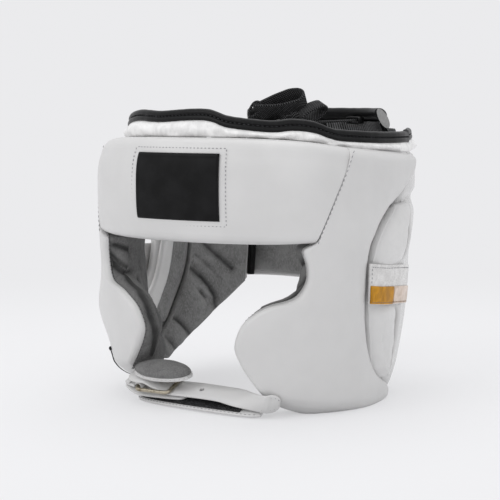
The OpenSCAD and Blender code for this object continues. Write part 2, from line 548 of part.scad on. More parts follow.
// Chin strap from the left cheek, under the tip bar, through the frame and over the heel
function chin_at(x, y, z) =
  [chin_p[0] + x, chin_p[1] + y * cos(chin_tilt) - z * sin(chin_tilt), chin_p[2] + y * sin(chin_tilt) + z * cos(chin_tilt)];
function lean(a, w) = [0, cos(a) * w / 2, sin(a) * w / 2];
under_z = bar_z - wire_r - seat - strap_t / 2;
over_z = bar_z + prong_out + seat + strap_t / 2;
root_z = ck(0.09);
function root_stop(th, out, k) =
  let (hi = form(th, root_z + k * strap_w / 2, -out), lo = form(th, root_z - k * strap_w / 2, 2.4 - out))
  [(hi + lo) / 2, (hi - lo) / 2];
strap_stops = [
  root_stop(37, strap_t / 2 + seat, 0.35),
  root_stop(36.3, strap_t / 2 + seat, 0.62),
  root_stop(35, strap_t / 2 + seat + 0.2, 0.8),
  root_stop(33, strap_t / 2 + seat + 0.9, 0.84),
  root_stop(29.5, strap_t / 2 + seat + 1.7, 0.8),
  [[33, -87.4, 12.5], lean(50, strap_w)],
  [[20, -86.4, 13], lean(32, strap_w)],
  [chin_at(2, 0, 0.6), lean(chin_tilt, strap_w)],
  [chin_at(tip_x + 5, 0, under_z), lean(chin_tilt, strap_w)],
  [chin_at(tip_x, 0, under_z), lean(chin_tilt, strap_w)],
  [chin_at(tip_x - 5, 0, under_z + 1), lean(chin_tilt, strap_w)],
  [chin_at((heel_x + tip_x) / 2, 0, (under_z + over_z) / 2), lean(chin_tilt, strap_w)],
  [chin_at(heel_x + 6, 0, over_z), lean(chin_tilt, strap_w)],
  [chin_at(heel_x, 0, over_z), lean(chin_tilt, strap_w)],
  [chin_at(heel_x - 6, 0, over_z), lean(chin_tilt, 0.8 * strap_w)],
  [chin_at(heel_x - 9, 0, over_z), lean(chin_tilt, 0.4 * strap_w)]
];
prong_hole_x = (heel_x + tip_x) / 2;
slot_half = 4.3;
module chin_strap() color(white) difference() {
  ribbon(smooth(strap_stops, 3), strap_t);
  chin_frame() translate([prong_hole_x, 0, 0]) hull()
    for (s = [-1, 1]) translate([s * slot_half, 0, 0]) cylinder(d = hole_d, h = 24, center = true, $fn = 16);
  chin_frame() translate([prong_hole_x + 2 * hole_pitch, 0, 0]) cylinder(d = hole_d, h = 24, center = true, $fn = 24);
}

// Short strap that carries the buckle, and the guard under it
module buckle_strap() color(white) chin_frame() translate([heel_x, 0, bar_z]) {
  difference() {
    union() {
      rotate([90, 0, 0]) cylinder(r = prong_out, h = buckle_w - 2 * bend_r - 2 * seat, center = true);
      translate([-7, 0, -0.2]) cube([14, buckle_w - 2 * bend_r - 2 * seat, strap_t], center = true);
      translate([-11, 0.5, 1.2]) cube([6, buckle_w - 2 * bend_r - 2 * seat + 1, 1.4], center = true);
    }
    rotate([90, 0, 0]) cylinder(r = wire_r + seat, h = buckle_w, center = true);
    translate([3, 0, 0]) cube([14, 4.4, 12], center = true);
  }
}
guard_stops = [
  [chin_at(-60, 0, 0.4), lean(chin_tilt, 13)],
  [chin_at(-56, 0, 0.2), lean(chin_tilt, 14)],
  [chin_at(-46, 0, -2.6), lean(chin_tilt, strap_w)],
  [chin_at(-30, 0, -3), lean(chin_tilt, strap_w)],
  [chin_at(-12, 0, -3), lean(chin_tilt, 0.9 * strap_w)],
  [chin_at(-8, 0, -3), lean(chin_tilt, 0.5 * strap_w)]
];
module buckle_guard() color(white) ribbon(smooth(guard_stops, 3), strap_t);

// Chin cushion on its leather base, oval in plan
cushion_x = -26;
cushion_y = -1.5;
base_z = over_z + strap_t / 2 + seat;
base_t = 3;
function oval(a, z, k) = chin_at(cushion_x + k * cushion_l / 2 * cos(a), cushion_y + k * cushion_w / 2 * sin(a), z);
module chin_pad_base() color(white)
  loft([for (q = [[base_z, 0.9], [base_z + 1, 1], [base_z + base_t - 0.6, 1], [base_z + base_t, 0.96]])
    [for (a = [0 : 15 : 345]) oval(a, q[0], q[1])]]);
module chin_cushion() color(grey)
  loft([for (q = [[0, 0.93], [0.22, 0.97], [0.5, 0.88], [0.76, 0.68], [0.93, 0.42], [1, 0.16]])
    [for (a = [0 : 15 : 345]) oval(a, base_z + base_t + seat + q[0] * cushion_h, q[1])]]);

// Cover flap under the buckle, rooted at the left cheek, with a hook tape on its upper face
flap_w = 18;
flap_stops = [
  [[50, -82.9, 5], lean(30, 0.8 * flap_w)],
  [[42, -84.9, 5], lean(24, flap_w)],
  [[20, -85.9, 5], lean(chin_tilt, flap_w)],
  [[-5, -84.9, 5], lean(chin_tilt, flap_w)],
  [[-30, -81.4, 4.6], lean(chin_tilt, flap_w)],
  [[-48, -76.4, 4.2], lean(chin_tilt, 0.9 * flap_w)],
  [[-53, -74.4, 4.1], lean(chin_tilt, 0.5 * flap_w)]
];
module cover_flap() color(white) ribbon(smooth(flap_stops, 3), strap_t);
module cover_hook_tape() color(black)
  ribbon([for (u = [1.3 : 0.4 : 5.0]) let (s = at(flap_stops, u), n = [0, -sin(chin_tilt), cos(chin_tilt)])
    [s[0] + n * (strap_t / 2 + seat + tape_t / 2), s[1] * 0.8]], tape_t);

brow_pad();
brow_lining();
front_patch();
cheek_pad(1);  // left_cheek_pad
cheek_lining(1);  // left_cheek_lining
ear_roll(1);  // left_ear_roll
roll_lining(1);  // left_roll_lining
wing_pad(1);  // left_wing_pad
wing_lining(1);  // left_wing_lining
ear_tab(1);  // left_ear_tab
tab_label(1);  // left_tab_label
tab_window(1);  // left_tab_window
cheek_pad(-1);  // right_cheek_pad
cheek_lining(-1);  // right_cheek_lining
ear_roll(-1);  // right_ear_roll
roll_lining(-1);  // right_roll_lining
wing_pad(-1);  // right_wing_pad
wing_lining(-1);  // right_wing_lining
ear_tab(-1);  // right_ear_tab
tab_label(-1);  // right_tab_label
tab_window(-1);  // right_tab_window
right_wing_binding();
closure_pad();
closure_lining();
closure_hook_tape();
closure_loop_tape();
crown_collar();
crown_binding();
rear_crown_flap();
rear_crown_binding();
crown_elastic(1);  // left_crown_elastic
crown_elastic(-1);  // right_crown_elastic
crown_lace();
lace_loops();
lace_bow();
lace_knot();
chin_strap();
buckle_frame();
buckle_prong();
buckle_strap();
buckle_guard();
chin_pad_base();
chin_cushion();
cover_flap();
cover_hook_tape();
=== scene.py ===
"""Boxing headguard: padded leather panels, suede linings, laced crown and buckled chin strap.

Every panel is laid on one head form. Lengths in this file are millimetres until a mesh is
finished, and angles are degrees of plan from the front, positive toward the wearer's left.
A side is 1 for the wearer's left and -1 for the right. A depth is measured inward from the
form's outer face.
"""
import math
from typing import NamedTuple

import bmesh
import bpy
from mathutils import Matrix, Vector, noise


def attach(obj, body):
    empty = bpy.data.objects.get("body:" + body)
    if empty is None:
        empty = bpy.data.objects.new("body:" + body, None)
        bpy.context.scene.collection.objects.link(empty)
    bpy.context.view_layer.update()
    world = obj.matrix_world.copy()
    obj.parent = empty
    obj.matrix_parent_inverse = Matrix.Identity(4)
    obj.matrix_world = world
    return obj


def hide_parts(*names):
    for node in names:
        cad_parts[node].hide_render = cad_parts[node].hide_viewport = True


bl_info = {
    "name": "Boxing headguard",
    "version": (1, 0, 0),
    "blender": (4, 5, 0),
    "location": "3D View > Sidebar > Headguard",
    "description": "Builds the looks of a padded boxing headguard around its packed solids",
    "category": "Object",
}

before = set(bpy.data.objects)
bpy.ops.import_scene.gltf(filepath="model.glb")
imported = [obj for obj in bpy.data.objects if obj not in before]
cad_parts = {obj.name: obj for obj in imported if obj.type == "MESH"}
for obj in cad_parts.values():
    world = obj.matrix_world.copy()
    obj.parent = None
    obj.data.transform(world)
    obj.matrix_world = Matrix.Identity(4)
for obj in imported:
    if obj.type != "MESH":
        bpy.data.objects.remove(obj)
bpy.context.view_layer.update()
TO_METRES = 0.001
SIDES = ((1, "left"), (-1, "right"))

HALF_WIDTH, AHEAD, BEHIND = 108, 103, 132  # full reach of the head form to its sides, front and back
CENTRE_Y = -10.4
FULL_Z, CROWN = 150, 70  # height of the full reach, and the height over which the crown closes in
SQUARENESS = 2.25
SEAM_Z, BROW_HEIGHT = 115, 66  # height of the seam over the cheeks, and of the brow band above it
RIGHT_RAISE = 14  # how much higher the right side's bottom sits
MM_PER_DEGREE = 2.1  # along the back of the form


# ---------------------------------------------------------------- small maths

def cosd(angle):
    return math.cos(math.radians(angle))


def sind(angle):
    return math.sin(math.radians(angle))


def clamp(v, low=0, high=1):
    return min(max(v, low), high)


def shares(count):
    """Even shares from 0 to 1."""
    return [i / count for i in range(count + 1)]


def span(a, b, count):
    """Even steps from a to b."""
    return [a + f * (b - a) for f in shares(count)]


def ease(v):
    """Smooth step from 0 to 1."""
    v = clamp(v)
    return v * v * (3 - 2 * v)


def bell(x, width):
    """1 at zero, falling off smoothly on both sides."""
    return math.exp(-(x / width) ** 2)


def ripple(p, size, seed=0):
    """Smooth noise from -1 to 1 with bumps of about the given size."""
    return noise.noise(Vector((p[0] / size + seed, p[1] / size - seed, p[2] / size + 2 * seed)))


def curve_at(rows, u):
    """Smooth curve through the rows, read at a running place."""
    i = min(int(u), len(rows) - 2)
    t = u - i
    a, b, c, d = rows[max(i - 1, 0)], rows[i], rows[i + 1], rows[min(i + 2, len(rows) - 1)]
    return [0.5 * (2 * q + (r - p) * t + (2 * p - 5 * q + 4 * r - s) * t * t + (3 * q - p - 3 * r + s) * t ** 3)
            for p, q, r, s in zip(a, b, c, d)]


# ---------------------------------------------------------------- head form

def reach(z, a, b, c):
    """Share of the full reach at a height, for a drawn-in neck and a rounded crown."""
    u = max(FULL_Z - z, 0) / FULL_Z
    v = max(z - FULL_Z, 0) / CROWN
    return 1 - a * u * u - b * u ** 3 - c * v * v


def fold(v):
    """A sine or cosine pushed outward, for a squared oval."""
    return math.copysign(abs(v) ** (2 / SQUARENESS), v)


def form(th, z, depth):
    """Point on the head form at an angle, a height and a depth."""
    s, c = sind(th), cosd(th)
    ahead = AHEAD * reach(z, 0.311, -0.171, 0.107) if c > 0 else BEHIND * reach(z, 0.4, -0.2, 0.136)
    aside = HALF_WIDTH * reach(z, 0.019, 0.101, 0.111)
    return Vector(((aside - depth) * fold(s), CENTRE_Y - (ahead - depth) * fold(c), z))


def side_form(side, th, z, depth):
    """The same point on one side, where the right side's bottom sits higher."""
    raised = z + (RIGHT_RAISE * max(0, 1 - z / SEAM_Z) if side < 0 else 0)
    p = form(th, raised, depth)
    return Vector((side * p.x, p.y, p.z))


def outward(side, th, z):
    """Direction away from the form's face."""
    return (side_form(side, th, z, 0) - side_form(side, th, z, 4)).normalized()


def cheek_z(v):
    """Height at a share of the way from the ground to the seam."""
    return v * SEAM_Z


def brow_z(v):
    """Height at a share of the way up the brow band."""
    return SEAM_Z + v * BROW_HEIGHT


# ---------------------------------------------------------------- meshes

def ring_edges(bm, ring):
    """Edges between the neighbours round a ring of vertices."""
    return [bm.edges.get(pair) for pair in zip(ring, ring[1:] + ring[:1])]


def loft(rings, closed=False, hollows=None):
    """Skin over rings of points: the first ring's edges are extruded on to each next ring.

    The cloth layer keeps the place across, the place along and how hollow the surface is, the mask where the finishes
    paint shade."""
    bm = bmesh.new()
    cloth = bm.verts.layers.float_vector.new("cloth")
    ring = bmesh.ops.create_circle(bm, segments=len(rings[0]), radius=1)["verts"]
    first, along = ring, 0
    for j, points in enumerate(rings):
        if j:
            made = bmesh.ops.extrude_edge_only(bm, edges=ring_edges(bm, ring))["geom"]
            made = {g for g in made if isinstance(g, bmesh.types.BMVert)}
            ring = [next(e.other_vert(v) for e in v.link_edges if e.other_vert(v) in made) for v in ring]
            along += (points[0] - rings[j - 1][0]).length
        across = 0
        for i, (v, p) in enumerate(zip(ring, points)):
            v.co = p
            across += (p - points[i - 1]).length if i else 0
            v[cloth] = (across, along, hollows[j][i] if hollows else 0)
    rims = [ring_edges(bm, r) for r in (first, ring)]
    if closed:
        bmesh.ops.bridge_loops(bm, edges=rims[0] + rims[1])
    for f in bm.faces:
        f.smooth = True
    if not closed:
        for rim in rims:
            for e in rim:
                e.smooth = False
            bmesh.ops.contextual_create(bm, geom=rim)
    bmesh.ops.recalc_face_normals(bm, faces=bm.faces)
    return bm


def joined(parts):
    """One bmesh from several, each kept as a shell of its own."""
    whole = parts[0]
    for bm in parts[1:]:
        mesh = bpy.data.meshes.new("part")
        bm.to_mesh(mesh)
        bm.free()
        whole.from_mesh(mesh)
        bpy.data.meshes.remove(mesh)
    return whole


def finished(name, bm, look, slot, *nodes, body="shell", fill=None):
    """Turns a bmesh in millimetres into a piece that rides on a body, in the look of a finish."""
    for v in bm.verts:
        v.co *= TO_METRES
    mesh = bpy.data.meshes.new(name)
    bm.to_mesh(mesh)
    bm.free()
    piece = bpy.data.objects.new(name, mesh)
    bpy.context.scene.collection.objects.link(piece)
    mesh.materials.append(finish(look))
    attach(piece, body)
    if nodes:
        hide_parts(*nodes)
    return piece


def two_sided(count, at):
    """Ring of a thin sheet: at(share, 0) along its face and at(share, 1) back along its other side."""
    return [at(f, 0) for f in shares(count)] + [at(f, 1) for f in reversed(shares(count))]


def round_ring(centre, across, up, radius, step):
    """Ring of points round a centre, step degrees apart."""
    return [centre + across * radius * cosd(a) + up * radius * sind(a) for a in range(0, 360, step)]


def strip_ring(centre, across, up, half, thick):
    """Section of a strap with softened edges."""
    t = thick / 2
    r = min(0.35 * thick, t)
    out = []
    for sx, sz, order in ((1, 1, (0, 1)), (1, -1, (1, 0)), (-1, -1, (0, 1)), (-1, 1, (1, 0))):
        corner = [(sx * (half - r), sz * t), (sx * half, sz * (t - r))]
        out += [centre + across * corner[c][0] + up * corner[c][1] for c in order]
    return out


def ribbon(stops, thick, smooth_steps=1):
    """Strap along stops of (point, half-width vector)."""
    if smooth_steps > 1:
        flat = [list(p) + list(w) for p, w in stops]
        many = [curve_at(flat, i / smooth_steps) for i in range(smooth_steps * (len(stops) - 1) + 1)]
        stops = [(Vector(m[:3]), Vector(m[3:])) for m in many]
    rings = []
    for j, (p, w) in enumerate(stops):
        ahead = stops[min(j + 1, len(stops) - 1)][0] - stops[max(j - 1, 0)][0]
        rings.append(strip_ring(p, w.normalized(), ahead.cross(w).normalized(), w.length, thick))
    return loft(rings)


# ---------------------------------------------------------------- panels

class Slice(NamedTuple):
    """One slice of a panel: where its two edges lie, its bow, and each edge's rounding and depth."""

    first_th: float
    first_z: float
    last_th: float
    last_z: float
    bow: float
    first_r: float
    last_r: float
    first_depth: float
    last_depth: float


class Panel:
    """A stack of slices on the head form. A running place counts the slices from 0."""

    def __init__(self, side, rows):
        self.side, self.rows, self.last = side, rows, len(rows) - 1

    def slice(self, u):
        """The slice at a running place."""
        return Slice(*curve_at(self.rows, u))

    def length(self, k):
        """Length across a slice, along the form."""
        return math.hypot(math.radians(k.last_th - k.first_th) * 0.95 * HALF_WIDTH, k.last_z - k.first_z)

    def flat(self, k, f):
        """Angle and height at a share of the slice."""
        bowed = k.first_z + f * (k.last_z - k.first_z) - 4 * k.bow * f * (1 - f)
        return k.first_th + f * (k.last_th - k.first_th), bowed

    def point(self, k, f, depth):
        """Point at a share of the slice and a depth."""
        th, z = self.flat(k, f)
        edge = k.first_depth + f * (k.last_depth - k.first_depth)
        return side_form(self.side, th, max(z, 0), edge + depth)

    def middle(self, u):
        """Middle of the face at a running place."""
        return self.point(self.slice(u), 0.5, 0)

    def to_ends(self, u, first, last):
        """How far a running place lies from two others."""
        p = self.middle(u)
        return [(p - self.middle(end)).length for end in (first, last)]

    def rolled(self, u, ra, rb):
        """How deep the rolled end lies at a place along the panel."""
        return max(0 if h >= r else r - math.sqrt(r * r - (r - h) ** 2)
                   for h, r in zip(self.to_ends(u, 0, self.last), (ra, rb)))

    def stops(self, step, near):
        """Running places, close together near both ends and a step apart between them."""
        inner = [near[-1] + step * (i + 1) for i in range(int((self.last - 2 * near[-1]) / step))]
        return near + inner + [self.last - n for n in reversed(near)]


def back_drop(x, length, taper):
    """How far the back falls away toward the last edge of a tapered pad."""
    h = x - (length - taper)
    return 0 if h <= 0 else taper - math.sqrt(max(taper * taper - h * h, 0))


def nose_drop(x, nose):
    """How far the back falls away toward the first edge of a pad with a round nose."""
    return nose * bell(max(x, 0), 11)


def pad_ring(panel, k, thick, count, end, lip, puff=None, meet=0, taper=0, fuller=0, nose=0):
    """Section of a stuffed pad: crowned face, rounded edges and a flat back.

    The end is how deep a rolled end lies here. With a lip, the back stops that far from the first
    edge and leaves a step down to meet, where a lining folds round it."""
    length, ra, rb = panel.length(k), k.first_r, k.last_r
    back_r = min(3, thick / 4)
    taper = min(taper, thick - rb - 0.5, 0.6 * length)
    turn = [1 - cosd(a) for a in range(0, 90, 15)]
    xs = [ra * t for t in turn] + [ra + f * (length - ra - rb) for f in shares(count)]
    xs += [length - rb * t for t in reversed(turn)]

    def face(x):
        v = clamp(2 * (x - ra) / (length - ra - rb) - 1, -1, 1)
        d = 0.2 * (ra if v < 0 else rb) * v ** 4
        for r, inside in ((ra, x), (rb, length - x)):
            if inside < r:
                d += 0.8 * (r - math.sqrt(max(r * r - (r - inside) ** 2, 0)))
        return min(d, thick - back_r - 1)

    back = []
    if taper:
        back += [(length - taper * (1 - cosd(a)), thick - taper * (1 - sind(a))) for a in (4, 20, 36, 52, 70)]
        reach_back = length - taper - max(back_r, lip + 0.5)
        back += [(x, thick - nose_drop(x, nose))
                 for x in (length - taper - f ** 0.7 * reach_back for f in shares(20))]
    else:
        back += [(length, thick - back_r), (length - 0.3 * back_r, thick - 0.3 * back_r)]
        back += [(length - back_r - f * (length - 2 * back_r), thick) for f in shares(8)]
    if lip:
        back += [(lip, thick - back_r - nose_drop(lip, nose)), (lip, meet + 1), (0, meet)]
    else:
        back += [(0.3 * back_r, thick - 0.3 * back_r), (0, thick - back_r)]
    points = []
    for i, (x, d) in enumerate([(x, face(x)) for x in xs] + back):
        rim = end * (1 - fuller * ease((x / length - 0.4) / 0.4))
        d = max(min(d, thick - 0.35 * end), rim)
        if puff and i < len(xs):
            d += puff(panel, k, x, length)
        points.append(panel.point(k, x / length, d))
    return points


def pad(panel, thick, count, step, near, ra, rb, lip=0, puff=None, meet=lambda u: 0, taper=0, fuller=0, nose=0):
    """Stuffed pad over a whole panel, with its two ends rolled by ra and rb."""
    return loft([pad_ring(panel, panel.slice(u), thick, count, panel.rolled(u, ra, rb), lip, puff, meet(u), taper,
                          fuller if u < panel.last / 2 else 0, nose) for u in panel.stops(step, near)])


def to_line(p, line, scale=1.7):
    """Distance from a flat point to a polyline, whose first coordinates count scale times."""
    best = math.inf
    for (a0, a1), (b0, b1) in zip(line, line[1:]):
        dx, dz = (b0 - a0) * scale, b1 - a1
        px, pz = (p[0] - a0) * scale, p[1] - a1
        t = clamp((px * dx + pz * dz) / (dx * dx + dz * dz))
        best = min(best, math.hypot(px - t * dx, pz - t * dz))
    return best


def lining_height(panel, k, x, length, seams, puff, edge):
    """Rise of the stuffed suede, pulled down at its edges and at each seam, and how hollow it is there, a mask for
    painted shade.

    A seam is a polyline of (angle, height), its width and its depth."""
    flat = panel.flat(k, x / length)
    rise, sewn, hollow = puff * (1 - math.exp(-max(edge, 0) / 7)), 0, 0
    p = panel.point(k, x / length, 20)
    for line, width, deep in seams:
        near = to_line(flat, line)
        if near < 5 * width:
            rise -= deep * math.exp(-near / width)
            sewn = max(sewn, math.exp(-near / 5))
            hollow = max(hollow, deep / 6 * math.exp(-near / (0.8 * width)))
    pull = 0.4 + 0.6 * ease(edge / 9)
    rise += pull * (ripple(p, 17, 3) + 0.5 * ripple(p, 8, 5)) + 1.1 * sewn * ripple(p, 4.5, 7)
    return rise, min(hollow, 1)


def lining(panel, depth, count, step, lo, hi, puff, seams=(), turn=0):
    """Suede sheet on a pad's back. With a turn, it also goes round the first edge by that depth."""
    rings, hollows = [], []
    top = panel.last - hi
    margin, first = 3, 0.8 if turn else 3
    for u in span(lo, top, int((top - lo) / step)):
        k = panel.slice(u)
        length = panel.length(k)
        ends = min(panel.to_ends(u, lo, top))
        xs = span(first, length - margin, count)
        heights = [lining_height(panel, k, x, length, seams, puff, min(x - first, length - margin - x, ends))
                   for x in xs]
        outer = [(x, depth) for x in xs]
        inner = [(x, depth + 1.8 + max(rise, -1.2)) for x, (rise, hollow) in zip(xs, heights)]
        wrap = []
        if turn:
            outer = [(0.15, depth - turn), (0.15, depth - 2)] + outer
            wrap = [(-0.2, depth + 0.8), (-0.7, depth - 1.2), (-0.75, depth - turn * 0.6), (-0.6, depth - turn)]
        rings.append([panel.point(k, x / length, d) for x, d in outer + inner[::-1] + wrap])
        hollows.append([0] * len(outer) + [hollow for rise, hollow in reversed(heights)] + [0] * len(wrap))
    return loft(rings, hollows=hollows)


def wrapped_lining(panel, thick, count, step, lo, hi, puff, seams, meet, taper, folds, nose):
    """Suede that covers the pad's back and folds round its first edge to meet the leather.

    A fold is a polyline of (running place, depth) on that edge, its width and its depth."""
    rings, hollows = [], []
    top = panel.last - hi
    for u in span(lo, top, int((top - lo) / step)):
        k = panel.slice(u)
        length = panel.length(k)
        start = 0.9 * ease((4.5 - k.first_r) / 1.9)
        meets = meet(u) + 0.7
        ends = min(panel.to_ends(u, lo, top))
        bend = min(taper, 0.6 * length)
        loose = ease((12.3 - u) / 1.2) * ease((u - lo) / 0.6)

        def gathered(d):
            """How far the folds draw the wall in at a depth."""
            return min(sum(deep * math.exp(-to_line((u, d), path, 9) / width) for path, width, deep in folds), 3.9)

        def drawn(d):
            """How far the wall is drawn in at a depth, by its folds and its slack."""
            gather = math.exp(-max(d - meets, 0) / 5)
            belly = 1.3 * math.sin(math.pi * clamp((d - meets) / (thick - meets)))
            slack = 0.8 * ripple((u * 9, d, 3), 9, 8)
            slack += (0.25 + 0.5 * gather) * ripple((u * 9 + 0.6 * d, 0.35 * d, 0), 2.3, 4)
            return loose * (gathered(d) - belly + slack * ease((d - meets) / 1.5))

        def back(x):
            """Depth of the pad's back."""
            return thick - back_drop(x, length + 0.3, bend) - nose_drop(x, nose)

        xs = [3 + f ** 1.1 * (length - 3.6) for f in shares(count)]
        heights = [lining_height(panel, k, x, length, seams, puff, min(length - 0.6 - x, ends, x + 4)) for x in xs]
        inner = [(x + drawn(thick) * max(1 - (x - 3) / 6, 0), back(x) + rise)
                 for x, (rise, hollow) in zip(xs, heights)]
        low = thick - nose_drop(3, nose)
        wall = [(start + drawn(d), d) for d in span(meets, low - 6, 15)]
        for a in (15, 32, 49, 66, 80):
            d = low - 6 + (inner[0][1] - low + 6) * sind(a)
            wall.append((start + drawn(min(d, thick)) + (3 - start) * (1 - cosd(a)), d))
        under = (xs[-1], xs[-3], xs[-6], xs[-9], xs[count // 2], xs[count // 3], xs[count // 4], xs[count // 6])
        outer = [(x, back(x) - 1.8) for x in under]
        outer += [(9, thick - 2 - nose_drop(9, nose)), (7, low - 5), (7, meets + 4), (1.8 + start, meets)]
        rings.append([panel.point(k, x / length, d) for x, d in wall + inner + outer])
        # The folds' depth is kept as the mask for painted shade.
        hollows.append([min(loose * gathered(d) / 3.2, 1) for x, d in wall]
                       + [hollow for rise, hollow in heights] + [0] * len(outer))
    return loft(rings, hollows=hollows)


# ---------------------------------------------------------------- stitches

def walk(path, pitch):
    """Even places along a path of (point, outward) pairs: (point, outward, direction)."""
    places, left = [], pitch / 2
    for (a, na), (b, nb) in zip(path, path[1:]):
        gap = (b - a).length
        while left < gap:
            t = left / gap
            places.append((a.lerp(b, t), na.lerp(nb, t).normalized(), (b - a).normalized()))
            left += pitch
        left -= gap
    return places


def stitches(paths, pitch, length, width, height, lean=0):
    """Rows of thread stitches, each a small drawn-out bead that is half sunk in the leather."""
    bm = bmesh.new()
    bm.verts.layers.float_vector.new("cloth")
    for path in paths:
        for p, up, ahead in walk(path, pitch):
            across = up.cross(ahead).normalized()
            ahead = (across.cross(up) * math.cos(lean) + across * math.sin(lean)).normalized()
            across = up.cross(ahead).normalized()
            turn = Matrix((ahead, across, up)).transposed().to_4x4()
            size = Matrix.Diagonal((length / 2, width / 2, height / 2, 1))
            bmesh.ops.create_icosphere(bm, subdivisions=1, radius=1, matrix=Matrix.Translation(p) @ turn @ size)
    for f in bm.faces:
        f.smooth = True
    return bm


def form_path(side, places, depth, step=6):
    """Path over the head form through (angle, height) places."""
    many = [curve_at(places, i / step) for i in range(step * (len(places) - 1) + 1)]
    return [(side_form(side, th, z, depth), outward(side, th, z)) for th, z in many]


# ---------------------------------------------------------------- materials

class Number:
    """A value that changes over a surface. Python's operators add the Math nodes."""

    def __init__(self, nodes, socket):
        self.nodes, self.socket = nodes, socket

    def math(self, operation, *others):
        """The result of a Math node on this value and others."""
        made = self.nodes.node("ShaderNodeMath", {"operation": operation}, dict(enumerate((self,) + others)))
        return Number(self.nodes, made.outputs[0])

    def __add__(self, other):
        return self.math("ADD", other)

    def __mul__(self, other):
        return self.math("MULTIPLY", other)

    def __pow__(self, other):
        return self.math("POWER", other)

    def __rsub__(self, other):
        return (self * -1) + other

    def between(self, low, high):
        """0 below low, 1 above high, smooth in between."""
        made = self.nodes.node("ShaderNodeMapRange", {"interpolation_type": "SMOOTHSTEP"},
                               {"Value": self, "From Min": low, "From Max": high})
        return Number(self.nodes, made.outputs[0])


class Nodes:
    """A node tree with one method that adds any node."""

    def __init__(self, tree):
        self.tree = tree

    def node(self, kind, settings=None, sockets=None):
        """Adds a node, with its settings and what goes into its sockets."""
        made = self.tree.nodes.new(kind)
        for key, value in (settings or {}).items():
            setattr(made, key, value)
        for key, value in (sockets or {}).items():
            value = value.socket if isinstance(value, Number) else value
            if isinstance(value, bpy.types.NodeSocket):
                self.tree.links.new(value, made.inputs[key])
            else:
                made.inputs[key].default_value = value
        return made

    def background_rays(self):
        """1 for the rays that should see the plain surroundings."""
        path = self.node("ShaderNodeLightPath").outputs
        camera, glossy, through = [Number(self, path[f"Is {word} Ray"])
                                   for word in ("Camera", "Glossy", "Transmission")]
        return camera + glossy + through


class Finish(Nodes):
    """One procedural material on the Principled shader."""

    def __init__(self, name, **constants):
        self.material = bpy.data.materials.new(name)
        self.material.use_nodes = True
        super().__init__(self.material.node_tree)
        self.shader = self.tree.nodes["Principled BSDF"]
        for key, value in constants.items():
            self.shader.inputs[key.replace("_", " ")].default_value = value
        self.place = self.node("ShaderNodeTexCoord").outputs["Object"]

    def noise(self, size, detail=2.0, rough=0.5, stretch=None, warp=0.0):
        """Noise from 0 to 1 with features of about size millimetres."""
        where = self.place
        if stretch:
            where = self.node("ShaderNodeMapping", None, {"Vector": where, "Scale": stretch}).outputs[0]
        made = self.node("ShaderNodeTexNoise", None, {
            "Vector": where, "Scale": 1 / (size * TO_METRES), "Detail": detail, "Roughness": rough, "Distortion": warp})
        return Number(self, made.outputs["Fac"])

    def cells(self, size):
        """Distance from the middle of cells of about size millimetres."""
        made = self.node("ShaderNodeTexVoronoi", None, {"Vector": self.place, "Scale": 1 / (size * TO_METRES)})
        return Number(self, made.outputs["Distance"])

    def cloth(self, part):
        """Millimetres across (0) or along (1) a strap, or how hollow the surface is (2), the mask for painted shade."""
        layer = self.node("ShaderNodeAttribute", {"attribute_name": "cloth"}).outputs["Vector"]
        return Number(self, self.node("ShaderNodeSeparateXYZ", None, {0: layer}).outputs[part])

    def wave(self, part, pitch):
        """Waves from -1 to 1 across (0) or along (1) a strap."""
        return (self.cloth(part) * (math.tau / pitch)).math("SINE")

    def ridges(self):
        """About 0.5 on flat ground, less in a crease and more on a ridge."""
        return Number(self, self.node("ShaderNodeNewGeometry").outputs["Pointiness"])

    def blend(self, factor, a, b):
        """Colour between a and b."""
        a, b = [c if isinstance(c, bpy.types.NodeSocket) else shade(c, 1) for c in (a, b)]
        return self.node("ShaderNodeMix", {"data_type": "RGBA"}, {0: factor, 6: a, 7: b}).outputs[2]

    def bump(self, height, distance, strength, under=None):
        """Normal for a height of so many millimetres, on top of another normal."""
        sockets = {"Height": height, "Distance": distance * TO_METRES, "Strength": strength}
        if under:
            sockets["Normal"] = under
        return self.node("ShaderNodeBump", None, sockets).outputs[0]

    def done(self, color, rough, normal):
        """Wires the shader and gives the material."""
        for key, socket in (("Base Color", color), ("Roughness", rough.socket), ("Normal", normal)):
            self.tree.links.new(socket, self.shader.inputs[key])
        return self.material


def shade(color, by):
    """The colour made lighter or darker, with an alpha of 1."""
    return tuple(min(c * by, 1) for c in color[:3]) + (1,)


def white_leather(name, color, rough, crease=1.0):
    """Coated white leather: fine pebble, faint creases, slightly uneven white and gloss.

    A crease above 1 makes it soft, with deeper creases, and paints shade into its creases and hollows."""
    f = Finish(name, Specular_IOR_Level=0.45)
    tone = f.blend(f.noise(38, 3).between(0.3, 0.75), shade(color, 0.965), shade(color, 1.03))
    tone = f.blend(f.noise(6, 4, 0.6).between(0.55, 0.9) * 0.35, tone, (0.6, 0.585, 0.56))
    if crease > 1:
        # Painted shade: creases, found by pointiness, are darkened.
        tone = f.blend(f.ridges().between(0.4, 0.492), (0.3, 0.285, 0.27), tone)
        # Painted shade: the hollows kept in the cloth layer are darkened.
        tone = f.blend(f.cloth(2).between(0.1, 1) * 0.7, tone, (0.2, 0.19, 0.18))
    pebble = f.bump(f.cells(0.9), 0.05, 0.22)
    lines = f.bump(f.noise(11, 5, 0.55, warp=0.6), 0.55, 0.22 * crease, pebble)
    soft = f.bump(f.noise(34, 2), 1.6, 0.22 * crease, lines)
    return f.done(tone, f.noise(9, 3) * 0.16 + (rough - 0.08), soft)


